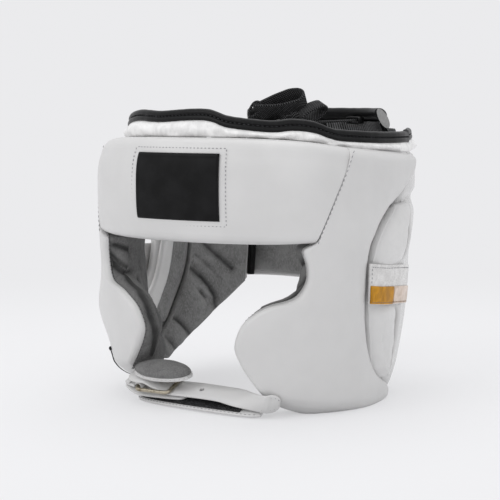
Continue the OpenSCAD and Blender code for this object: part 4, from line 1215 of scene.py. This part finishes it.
class HEADGUARD_OT_rear_crown(bpy.types.Operator):
    """Black wall above the wings with a roll along its top, and the elastics beside it"""
    bl_idname = "headguard.rear_crown"
    bl_label = "Rear crown"
    bl_options = {"REGISTER", "UNDO"}

    top = brow_z(0.83)  # top edge of the wings
    tall = 21.6

    def flap(self, start, end):
        """Wall, piped roll, and the rows of stitches outside and inside."""
        wall, roll, outside, inside = [], [], [], []
        z, d = self.top + 24.9, 19
        for th in span(start, end, 90):
            def at(f, back):
                puckers = 0.9 * ripple(form(th, self.top + 20 * f, 13), 9, 5)
                return form(th, self.top + 0.3 + self.tall * f, 13 + 5 * f + math.sin(math.pi * f) * puckers + 2 * back)

            wall.append(two_sided(8, at))
            arc = min(th - start, end - th) * MM_PER_DEGREE
            r = 4.6 * math.sqrt(max(1 - max(0, 1 - arc / 1.5) ** 2, 0.5)) + 0.2 * ripple(form(th, z, d), 8, 2)
            roll.append([form(th, z + r * sind(a), d - r * cosd(a)) for a in range(0, 360, 15)])
            outside.append((form(th, z - 4.2, d - 2.6), outward(1, th, z)))
            inside.append((form(th, z - 6.2, d + 1.2), -outward(1, th, z)))
        finished("rear_crown_leather", loft(wall), "black", "black_leather", "rear_crown_flap")
        finished("rear_crown_roll", loft(roll), "black", "black_leather", "rear_crown_binding")
        finished("rear_crown_stitches", stitches([outside], 3.0, 2.2, 0.6, 0.5), "dark_thread", "black_leather")
        finished("rear_crown_inner_stitches", stitches([inside], 3.0, 2.2, 0.6, 0.5), "thread", "black_leather")
        cap = [[form(start - t, z - 3 + 7.2 * sind(a), d - 0.6 - 3.7 * cosd(a) + 1.6 * sind(a))
                for a in range(0, 360, 15)] for t in (0.05, 0.35)]
        finished("rear_crown_roll_end", loft(cap), "suede_painted_lighter", "grey_suede")

    def tail(self):
        """Elastic that is sewn along the inside of the wall, gathered in small waves."""
        rings = []
        for i, th in enumerate(span(144, 180, 175)):
            wave = 0.3 * math.cos(math.tau * i / 7)

            def at(f, back):
                up = 5 + 14.5 * f
                return form(th, self.top + up, 15.6 + (1.8 + wave) * back + 5 * up / self.tall)

            rings.append(two_sided(6, at))
        finished("rear_elastic_tail", loft(rings), "elastic", "black_webbing")

    def band(self, side, word):
        """Gathered elastic between the collar and the wall."""
        rings = []
        for i, th in enumerate(span(122.2, 139.6, 96)):
            wave = 0.25 * math.cos(math.tau * i / 4)
            rings.append(two_sided(8, lambda f, back: side_form(side, th, self.top + 0.3 + 14.7 * f,
                                                                14 - wave + 2 * f + (1.3 + 2 * wave) * back)))
        finished(word + "_elastic_band", loft(rings), "elastic", "black_webbing", word + "_crown_elastic")

    def execute(self, context):
        self.flap(140, 220)
        self.tail()
        for side, word in SIDES:
            self.band(side, word)
        return {"FINISHED"}


class HEADGUARD_OT_lace(bpy.types.Operator):
    """Crown lace, its sewn loops, and the bow"""
    bl_idname = "headguard.lace"
    bl_label = "Crown lace"
    bl_options = {"REGISTER", "UNDO"}

    up = Vector((0, 0, 1))
    knot = Vector((2, 34.6, 193.8))

    def loop(self, offset, axis, long_way, long, short, half, drop):
        """Loop of tape wound round an axis, rounder at its far end than at its near one."""
        centre, axis, u = self.knot + Vector(offset), Vector(axis).normalized(), Vector(long_way)
        u = (u - axis * u.dot(axis)).normalized()
        v = axis.cross(u)
        stops = []
        for f in shares(80):
            a = math.radians(190 + f * 352)
            c, s = math.cos(a), math.sin(a)
            p = centre + u * long * c + v * short * s * (1 - drop + drop * c) + axis * 0.6 * math.sin(2 * a)
            sway = Vector((ripple(p, 13, 1), ripple(p, 13, 4), ripple(p, 13, 7)))
            stops.append((p + sway * 0.8, axis * half * (1 + 0.08 * ripple(p, 8, 2))))
        return ribbon(stops, 1.9)

    def eye(self, th):
        """Middle of a sewn loop."""
        return form(th, 190, 24.96 if abs(th) < 90 else 26.9)

    def run(self, a, b):
        """Tape between two sewn loops, hanging a little."""
        start, stop = self.eye(a), self.eye(b)
        across = self.up.cross((stop - start).normalized()) * 4.5
        stops = []
        for t in shares(40):
            p = start.lerp(stop, t) - self.up * 1.5 * math.sin(math.pi * t)
            stops.append((p, across * (1 - 0.06 * abs(ripple(p, 16, 3)))))
        return ribbon(stops, 1.6)

    def sewn_loop(self, th):
        """Flat leather loop round the lace."""
        centre = self.eye(th)
        along = (form(th + 1, 190, 22) - form(th - 1, 190, 22)).normalized()
        depth = along.cross(self.up).normalized()
        places = []
        for a in range(0, 360, 10):
            x, z = [math.copysign(abs(v) ** 0.5, v) for v in (cosd(a), sind(a))]
            places.append(centre + along * x * 7.2 + self.up * z * 2.3)
        rings = []
        for j, p in enumerate(places):
            ahead = places[(j + 1) % len(places)] - places[j - 1]
            rings.append(strip_ring(p, depth, ahead.cross(depth).normalized(), 2.5, 1.2))
        return loft(rings, closed=True)

    def execute(self, context):
        runs = [self.run(a, b) for a, b in ((-24, 160), (24, 200))]
        finished("crown_lace_tape", joined(runs), "web", "black_webbing", "crown_lace")
        loops = [self.sewn_loop(th) for th in (-24, 24, 160, 200)]
        finished("lace_eyes", joined(loops), "black", "black_webbing", "lace_loops")
        bows = [self.loop((-6.4, -2.8, 7.8), (0.12, -0.63, 0.767), (0.855, 0.452, 0.266), 18.5, 8.8, 6.4, 0.25),
                self.loop((13.2, 8.6, 2.8), (0.86, -0.32, -0.42), (0.45, 0.8, 0.35), 10.5, 5.8, 5.2, 0.1),
                self.loop((-21.9, -12.7, 4.4), (0.512, -0.852, 0.1), (0.4, 0.33, 0.86), 6.4, 4.2, 1.3, 0.2)]
        finished("lace_bow_tape", joined(bows), "web", "black_webbing", "lace_bow")
        along, aside = Vector((cosd(15), sind(15), 0)), Vector((-sind(15), cosd(15), 0))
        rings = [round_ring(self.knot + along * s, aside, self.up,
                            3.7 * (1 - 0.42 * abs(s / 9) ** 3) - 0.7 * bell(s, 0.8), 18) for s in span(-9, 9, 30)]
        finished("lace_knot_tape", loft(rings), "web", "black_webbing", "lace_knot")
        return {"FINISHED"}


class HEADGUARD_OT_patch(bpy.types.Operator):
    """Bare forehead patch with its sewn frame"""
    bl_idname = "headguard.patch"
    bl_label = "Forehead patch"
    bl_options = {"REGISTER", "UNDO"}

    low, high, first, last = 128.53, 171.53, -14, 15  # heights and angles of its edges
    frame_out, frame_up = 2.3, 3.2  # how far the sewn frame lies outside them

    def face(self, z):
        """Depth of the brow's crowned face."""
        return 1.8 * ((z - 148) / 24) ** 4

    def execute(self, context):
        sizes = context.scene.headguard_sizes
        rings = []
        for f in shares(40):
            z = self.low + f * (self.high - self.low)
            rim = min(f, 1 - f) * (self.high - self.low)

            def at(g, back):
                edge = min(rim, min(g, 1 - g) * (self.last - self.first) * 1.9)
                lift = 0.85 * min(edge / 0.5, 1) ** 0.5 + 0.35 * bell(edge - 1.1, 0.5) - 0.12 * ease((edge - 1.8) / 1.2)
                th = self.first + g * (self.last - self.first)
                return form(th, z, self.face(z) - 0.55 - (0 if back else lift))

            rings.append(two_sided(48, at))
        finished("forehead_patch", loft(rings), "patch", "patch_leather", "front_patch")
        left, right = self.first - self.frame_out, self.last + self.frame_out
        low, high = self.low - self.frame_up, self.high + self.frame_up
        corners = [(left, low), (right, low), (right, high), (left, high), (left, low)]
        rows = []
        for (a, z), (b, y) in zip(corners, corners[1:]):
            places = list(zip(span(a, b, 24), span(z, y, 24)))
            rows.append([(form(th, up, self.face(up) - 0.1), outward(1, th, up)) for th, up in places])
        finished("patch_stitches", stitches(rows, sizes.stitch_pitch * 0.8, 1.5, 0.7, 0.6), "thread", "white_leather")
        return {"FINISHED"}


class HEADGUARD_OT_ear_tabs(bpy.types.Operator):
    """Ear tabs with a foil strip and a clear strip on the lower part"""
    bl_idname = "headguard.ear_tabs"
    bl_label = "Ear tabs"
    bl_options = {"REGISTER", "UNDO"}

    low, high, first = 72.2, 99.2, 75.8  # heights of a tab's edges and angle of its front edge
    last = {1: 104.5, -1: 116}
    split = {1: 0.54, -1: 0.6}  # share of the tab's length where the foil ends

    def place(self, side, th, z, depth):
        """Point on the tab's face, which slants down and inward to the rear."""
        share = (th - self.first) / (self.last[side] - self.first)
        return side_form(side, th, z - 6.9 * share, 0.6 + 2 * share + depth)

    def sheet(self, side, z0, z1, a, b, lift, thick, wave):
        """Sheet on the tab's face, between two heights and two angles."""
        rings = []
        for f in shares(24):
            z = z0 + f * (z1 - z0)
            soft = 0.3 * max(0, 1 - min(f, 1 - f) * (z1 - z0) / 0.8)

            def at(g, back):
                th = a + g * (b - a)
                bulge = wave * ripple(form(th, z, 0), 8, side + 3)
                return self.place(side, th, z, (thick - soft if back else soft) - lift - bulge)

            rings.append(two_sided(36, at))
        return loft(rings)

    def sewn(self, side, places, lift):
        """Path of a row of stitches on the tab."""
        return [(self.place(side, th, z, -lift), outward(side, th, z)) for th, z in places]

    def execute(self, context):
        low, high, a = self.low, self.high, self.first
        top = low + 0.46 * (high - low)
        for side, word in SIDES:
            b = self.last[side]
            split = a + self.split[side] * (b - a)
            vinyl = self.sheet(side, low, high, a, b, 0, 1.6, 0.15)
            foil = self.sheet(side, low + 0.5, top, a + 0.4, split, 0.95, 0.8, 0.2)
            clear = self.sheet(side, low + 0.5, top, split + 0.3, b - 0.4, 0.95, 0.8, 0.2)
            finished(word + "_tab_vinyl", vinyl, "tab", "white_leather", word + "_ear_tab")
            finished(word + "_tab_foil", foil, "gold", "gold_foil", word + "_tab_label")
            finished(word + "_tab_film", clear, "window", "tinted_film", word + "_tab_window")
            ths = span(a + 1, b - 1, 16)
            rows = [self.sewn(side, [(th, high - 2.2) for th in ths], 0.1),
                    self.sewn(side, [(a + 1.2, z) for z in span(low + 2, high - 2, 10) if z > top], 0.1)]
            finished(word + "_tab_stitches", stitches(rows, 2.7, 1.8, 0.7, 0.6), "thread", "white_leather")
            rows = [self.sewn(side, [(th, low + 1.7) for th in ths], 1.1)]
            finished(word + "_tab_foil_stitches", stitches(rows, 2.7, 1.8, 0.7, 0.6), "brown_thread", "gold_foil")
        return {"FINISHED"}


CHIN, CHIN_TILT = Vector((0, -84.4, 12)), 22  # middle of the chin strap, and how far it leans back
HEEL, TIP, BAR_Z = -44, -18, 3  # the buckle's bar, the tip of its prong and the bar's height on the strap
STRAP_WIDTH = 17


def chin_at(x, y, z):
    """Point in the leaning frame of the chin strap."""
    return CHIN + Vector((x, y * cosd(CHIN_TILT) - z * sind(CHIN_TILT), y * sind(CHIN_TILT) + z * cosd(CHIN_TILT)))


def lean(angle, width):
    """Half-width vector of a strap that leans back."""
    return Vector((0, cosd(angle), sind(angle))) * width / 2


def chin_stop(x, z, width=STRAP_WIDTH, y=0):
    """Stop of a strap in the leaning frame."""
    return chin_at(x, y, z), lean(CHIN_TILT, width)


def root_stop(th, out, k):
    """Stop of the strap's root on the cheek pad: how far out it lies, and its share of the full width."""
    high, low = form(th, 10.35 + k * 8.5, -out), form(th, 10.35 - k * 8.5, 2.4 - out)
    return (high + low) / 2, (high - low) / 2


def punch(piece, holes):
    """Cuts round holes of (place along, stretch) through the chin strap."""
    bm = bmesh.new()
    for x, stretch in holes:
        place = Matrix.Translation(chin_at(x, 0, 3)) @ Matrix.Rotation(math.radians(CHIN_TILT), 4, "X")
        bmesh.ops.create_cone(bm, cap_ends=True, segments=32, radius1=1.75, radius2=1.75, depth=14,
                              matrix=place @ Matrix.Diagonal((stretch, 1, 1, 1)))
    for v in bm.verts:
        v.co *= TO_METRES
    mesh = bpy.data.meshes.new("punch")
    bm.to_mesh(mesh)
    bm.free()
    cutter = bpy.data.objects.new("punch", mesh)
    bpy.context.scene.collection.objects.link(cutter)
    cut = piece.modifiers.new("Holes", "BOOLEAN")
    cut.operation, cut.solver, cut.object = "DIFFERENCE", "EXACT", cutter
    bpy.context.view_layer.update()
    punched = bpy.data.meshes.new_from_object(piece.evaluated_get(bpy.context.evaluated_depsgraph_get()))
    piece.modifiers.clear()
    piece.data = punched
    bpy.data.objects.remove(cutter)


class HEADGUARD_OT_chin_strap(bpy.types.Operator):
    """Chin strap with its punched holes, the buckle's own strap and the guard under it"""
    bl_idname = "headguard.chin_strap"
    bl_label = "Chin strap"
    bl_options = {"REGISTER", "UNDO"}

    under, over = 0.4, 7.2  # heights of the strap under the prong's tip and over the buckle's bar

    def execute(self, context):
        under, over = self.under, self.over
        root = [root_stop(37, 1.3, 0.3), root_stop(36.3, 1.3, 0.5), root_stop(35, 1.5, 0.66),
                root_stop(33, 2.2, 0.74), root_stop(29.5, 3.0, 0.7)]
        bend = [(Vector((33, -87.4, 11.6)), lean(40, 14.6)), (Vector((20, -86.4, 12.6)), lean(25, 16))]
        rest = [(2, 0.6), (TIP + 5, under), (TIP, under), (TIP - 5, under + 1), (-31, 3.8), (HEEL + 6, over),
                (HEEL, over), (HEEL - 6, over, 13.6), (HEEL - 9, over, 6.8)]
        strap = ribbon(root + bend + [chin_stop(*stop) for stop in rest], 2, 8)
        punch(finished("chin_strap_leather", strap, "leather", "white_leather", "chin_strap"), ((-31, 3), (3, 1)))

        parts = [ribbon([chin_stop(-55, 2.9, 11), chin_stop(-50, 2.8, 14), chin_stop(-47.4, 2.5, 14.4)], 1.9, 6)]
        for s in (-1, 1):
            parts.append(ribbon([chin_stop(HEEL + 2.35 * cosd(a), BAR_Z + 2.35 * sind(a), 4.6, s * 4.9)
                                 for a in range(195, 506, 10)], 1.1))
        parts.append(ribbon([chin_stop(-55.4, 4.4, 12, 0.5), chin_stop(-51.2, 4.3, 14, 0.5)], 1.1, 6))
        finished("buckle_strap_leather", joined(parts), "leather", "white_leather", "buckle_strap")

        guard = [(-57, 1.6, 9, 1), (-54.5, 0.4, 13.5, 0.5), (-46, -2.6), (-30, -3), (-12, -3, 15.3), (-8, -3, 8.5)]
        guard = ribbon([chin_stop(*stop) for stop in guard], 2, 10)
        finished("buckle_guard_leather", guard, "leather", "white_leather", "buckle_guard")

        def sewn(p, w, k):
            out = (p - form(41, p.z, 10)).normalized()
            return p + w * k + out * 1.05, out

        rows = [[sewn(p, w, k) for p, w in root] for k in (0.72, -0.72)]
        finished("chin_strap_stitches", stitches(rows, 2.8, 1.9, 0.6, 0.5), "thread", "white_leather")
        return {"FINISHED"}


class HEADGUARD_OT_chin_pad(bpy.types.Operator):
    """Domed chin cushion on its leather base"""
    bl_idname = "headguard.chin_pad"
    bl_label = "Chin pad"
    bl_options = {"REGISTER", "UNDO"}

    low = 9.7  # height of the base on the strap
    base = [(-1.3, 0.3), (-0.8, 0.5), (-0.3, 0.78), (0, 0.87), (0.1, 0.93), (0.6, 0.985), (1.3, 1), (2.0, 0.985),
            (2.5, 0.965), (2.8, 0.975), (3.0, 0.955)]  # (height, share of the oval)

    def oval(self, a, z, k, wave=0.0):
        """Point on a share of the pad's oval."""
        return chin_at(-26 + (k * 23 + wave) * cosd(a), 0.6 + (k * 10 + wave) * sind(a), z)

    def execute(self, context):
        low, turn = self.low, range(0, 360, 4)
        rings = [[self.oval(a, low + z, k, 0.25 * ripple((a / 6.0, z, 0), 4, 1)) for a in turn] for z, k in self.base]
        finished("chin_base_leather", loft(rings), "leather_rear", "white_leather", "chin_pad_base", fill=0.6)
        rings = []
        for f in shares(26):
            k = 0.965 * cosd(88 * f) ** 0.62 if f else 0.93
            z = low + 3.2 + 5.4 * sind(90 * f) ** 0.95
            ring = []
            for a in turn:
                p = self.oval(a, z, k)
                ring.append(self.oval(a, z + 0.35 * ripple(p, 9, 2) * (1 - f), max(k, 0.06), 0.4 * ripple(p, 7, 5)))
            rings.append(ring)
        finished("chin_cushion_suede", loft(rings), "suede", "grey_suede", "chin_cushion", fill=0.9)
        ring = [(self.oval(a, low + 2.1, 0.99), (self.oval(a, low, 2) - self.oval(a, low, 0)).normalized())
                for a in range(0, 361, 4)]
        finished("chin_base_stitches", stitches([ring], 3.2, 1.8, 0.5, 0.35), "pale_thread", "white_leather")
        return {"FINISHED"}


class HEADGUARD_OT_cover_flap(bpy.types.Operator):
    """Cover flap under the buckle with the hook tape on its upper face"""
    bl_idname = "headguard.cover_flap"
    bl_label = "Cover flap"
    bl_options = {"REGISTER", "UNDO"}

    def execute(self, context):
        t = CHIN_TILT
        stops = [((50, -82.9, 5), 30, 14.4), ((42, -84.9, 5), 24, 18), ((20, -85.9, 5), t, 18), ((-5, -84.9, 5), t, 18),
                 ((-30, -81.4, 4.6), t, 18), ((-48, -76.4, 4.2), t, 16.2), ((-53, -74.4, 4.1), t, 9)]
        stops = [(Vector(p), lean(a, w)) for p, a, w in stops]
        finished("cover_flap_leather", ribbon(stops, 2, 10), "leather", "white_leather", "cover_flap", body="cover")
        flat = [list(p) + list(w) for p, w in stops]
        up = Vector((0, -sind(t), cosd(t)))

        def along(a, b, count):
            return [(Vector(s[:3]), Vector(s[3:])) for s in (curve_at(flat, u) for u in span(a, b, count))]

        tape = [(p + up * 1.7, w * 0.8) for p, w in along(1.3, 5, 40)]
        rows = [[(p + up * 1.05 + w * k, up) for p, w in along(0.4, 5.4, 60)] for k in (0.9, -0.9)]
        finished("cover_tape_pile", ribbon(tape, 0.8), "hook", "hook_and_loop", "cover_hook_tape", body="cover")
        finished("cover_flap_stitches", stitches(rows, 3.0, 2.0, 0.6, 0.5), "thread", "white_leather", body="cover")
        return {"FINISHED"}


class HEADGUARD_OT_seams(bpy.types.Operator):
    """Sewn rows along the panel seams, and the welt under the right cheek"""
    bl_idname = "headguard.seams"
    bl_label = "Seam stitches"
    bl_options = {"REGISTER", "UNDO"}

    welt = [(-82.2, -71.6, 32.6), (-83.5, -69.2, 29.6), (-83.9, -67.0, 26), (-82.8, -66.6, 22.2),
            (-81.2, -64.9, 18.7), (-78.8, -63.4, 15.9), (-75.4, -61.8, 13.6), (-71, -62.6, 12.9), (-66, -66.4, 12.9)]

    def whip(self, side):
        """Path along the edge where a cheek's suede meets its leather."""
        panel, path = cheek_panel(side), []
        for u in span(0.6, 12.5, 180):
            k, deep = panel.slice(u), cheek_meet(side, u) + 0.3
            p = panel.point(k, 0.1 / panel.length(k), deep)
            path.append((p, (p - panel.point(k, 0.2, deep)).normalized()))
        return path

    def bead(self):
        """Rings of the welt, which starts in a knob and grows thinner."""
        rings, last = [], len(self.welt) - 1
        for u in span(0, last, 80):
            p = Vector(curve_at(self.welt, u))
            if u < last:
                ahead = (Vector(curve_at(self.welt, u + 0.05)) - p).normalized()
            across = ahead.cross(Vector((0, -1, 0))).normalized()
            knob = 0.85 * max(math.sin(math.pi * min(u / 0.9, 1)), 0) ** 0.6
            rings.append(round_ring(p, across, across.cross(ahead), 0.42 + knob - 0.2 * ease((u - 3) / 4), 30))
        return rings

    def execute(self, context):
        sizes = context.scene.headguard_sizes
        places = [(a + 0.12, z) for a, z in map(seam_place, shares(10))]
        rows = [form_path(side, places, -0.05) for side, word in SIDES]
        finished("seam_stitches", stitches(rows, sizes.stitch_pitch, sizes.stitch_length, 0.7, 0.6), "thread",
                 "white_leather")
        whips = [self.whip(side) for side, word in SIDES]
        finished("edge_whip_stitches", stitches(whips, 2.9, 2.0, 0.5, 0.5, lean=1.25), "dark_thread", "grey_suede")
        finished("right_cheek_welt", loft(self.bead()), "black", "black_leather")
        return {"FINISHED"}


class HEADGUARD_OT_hardware(bpy.types.Operator):
    """Finish of the buckle's wire frame and prong"""
    bl_idname = "headguard.hardware"
    bl_label = "Buckle"
    bl_options = {"REGISTER", "UNDO"}

    def execute(self, context):
        for node in ("buckle_frame", "buckle_prong"):
            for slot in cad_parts[node].material_slots:
                slot.link = "OBJECT"
                slot.material = finish("steel")
        return {"FINISHED"}


class HEADGUARD_OT_stage(bpy.types.Operator):
    """Pale floor, soft lamps, white surroundings and the camera"""
    bl_idname = "headguard.stage"
    bl_label = "Stage"
    bl_options = {"REGISTER", "UNDO"}

    white = (0.83, 0.83, 0.845, 1)

    def floor(self, scene):
        """Round floor that takes the shadow near the object and is plain white far from it. Near the object, camera and
        glossy rays see it 58 percent mixed with a white glow: painted light that lightens its shadow.
        """
        bm = bmesh.new()
        bmesh.ops.create_circle(bm, cap_ends=True, segments=96, radius=6)
        mesh = bpy.data.meshes.new("floor")
        bm.to_mesh(mesh)
        bm.free()
        floor = bpy.data.objects.new("floor", mesh)
        scene.collection.objects.link(floor)
        f = Finish("Floor", Roughness=0.85, Specular_IOR_Level=0.1)
        f.shader.inputs["Base Color"].default_value = (0.83, 0.83, 0.84, 1)
        away = f.node("ShaderNodeVectorMath", {"operation": "LENGTH"}, {0: f.place}).outputs["Value"]
        far = Number(f, away).between(0.16, 0.75)
        glow = f.node("ShaderNodeEmission", None, {"Color": self.white}).outputs[0]
        # Painted light: near the object the glow makes up 58 percent of what camera and glossy rays see, lightening the
        # shadow.
        mixed = f.node("ShaderNodeMixShader", None, {
            0: f.background_rays() * (far * 0.42 + 0.58), 1: f.shader.outputs[0], 2: glow})
        f.tree.links.new(mixed.outputs[0], f.tree.nodes["Material Output"].inputs[0])
        mesh.materials.append(f.material)

    def surroundings(self, scene):
        """Soft light from all round, behind a plain white background."""
        world = bpy.data.worlds.new("Surroundings")
        world.use_nodes = True
        sky = Nodes(world.node_tree)
        light, back = sky.tree.nodes["Background"], sky.node("ShaderNodeBackground", None, {0: self.white})
        light.inputs[0].default_value, light.inputs[1].default_value = (0.98, 0.985, 1, 1), 0.93
        mixed = sky.node("ShaderNodeMixShader", None, {
            0: sky.background_rays(), 1: light.outputs[0], 2: back.outputs[0]})
        sky.tree.links.new(mixed.outputs[0], sky.tree.nodes["World Output"].inputs[0])
        scene.world = world

    def lamp(self, scene, name, place, target, width, power):
        """Round area lamp that faces a target."""
        data = bpy.data.lights.new(name, "AREA")
        data.shape, data.size, data.energy = "DISK", width, power
        lamp = bpy.data.objects.new(name, data)
        lamp.location = place
        lamp.rotation_euler = (Vector(target) - Vector(place)).to_track_quat("-Z", "Y").to_euler()
        scene.collection.objects.link(lamp)

    def camera(self, scene, azimuth, elevation, away, target):
        """Camera that looks at a target from a direction and a distance."""
        data = bpy.data.cameras.new("camera")
        data.sensor_width, data.lens = 36, 102.24
        camera = bpy.data.objects.new("camera", data)
        back = Vector((sind(azimuth) * cosd(elevation), -cosd(azimuth) * cosd(elevation), sind(elevation)))
        camera.location = Vector(target) + back * away
        camera.rotation_euler = (-back).to_track_quat("-Z", "Y").to_euler()
        scene.collection.objects.link(camera)
        scene.camera = camera

    def execute(self, context):
        scene = context.scene
        scene.view_settings.view_transform = "Standard"
        self.floor(scene)
        self.surroundings(scene)
        self.lamp(scene, "key", (-0.55, -1.5, 1.25), (0, 0, 0.1), 1.3, 6.6)
        self.lamp(scene, "fill", (1.6, -1.1, 0.9), (0, 0, 0.1), 1.4, 2)
        self.lamp(scene, "top", (-0.2, 0.35, 1.7), (0, 0, 0.12), 1.5, 6.6)
        self.camera(scene, 31, 6, 1.0, (-0.0034, -0.0125, 0.1))
        return {"FINISHED"}


PIECES = (HEADGUARD_OT_stage, HEADGUARD_OT_brow, HEADGUARD_OT_cheeks, HEADGUARD_OT_wings, HEADGUARD_OT_ear_rolls,
          HEADGUARD_OT_closure, HEADGUARD_OT_collar, HEADGUARD_OT_rear_crown, HEADGUARD_OT_lace, HEADGUARD_OT_patch,
          HEADGUARD_OT_ear_tabs, HEADGUARD_OT_chin_strap, HEADGUARD_OT_chin_pad, HEADGUARD_OT_cover_flap,
          HEADGUARD_OT_seams, HEADGUARD_OT_hardware)


class HEADGUARD_PT_panel(bpy.types.Panel):
    """Lists the headguard's colours, sizes and builders"""
    bl_idname = "HEADGUARD_PT_panel"
    bl_label = "Headguard"
    bl_space_type, bl_region_type, bl_category = "VIEW_3D", "UI", "Headguard"

    def draw(self, context):
        for group in (context.scene.headguard_colours, context.scene.headguard_sizes):
            for key in group.bl_rna.properties.keys():
                if key not in ("rna_type", "name"):
                    self.layout.prop(group, key)
        for piece in PIECES:
            self.layout.operator(piece.bl_idname)


CLASSES = (HeadguardColours, HeadguardSizes) + PIECES + (HEADGUARD_PT_panel,)


def register():
    for item in CLASSES:
        bpy.utils.register_class(item)
    bpy.types.Scene.headguard_colours = bpy.props.PointerProperty(type=HeadguardColours)
    bpy.types.Scene.headguard_sizes = bpy.props.PointerProperty(type=HeadguardSizes)


def unregister():
    del bpy.types.Scene.headguard_sizes, bpy.types.Scene.headguard_colours
    for item in reversed(CLASSES):
        bpy.utils.unregister_class(item)


def main():
    register()
    for piece in PIECES:
        group, call = piece.bl_idname.split(".")
        getattr(getattr(bpy.ops, group), call)()


if __name__ == "__main__":
    main()
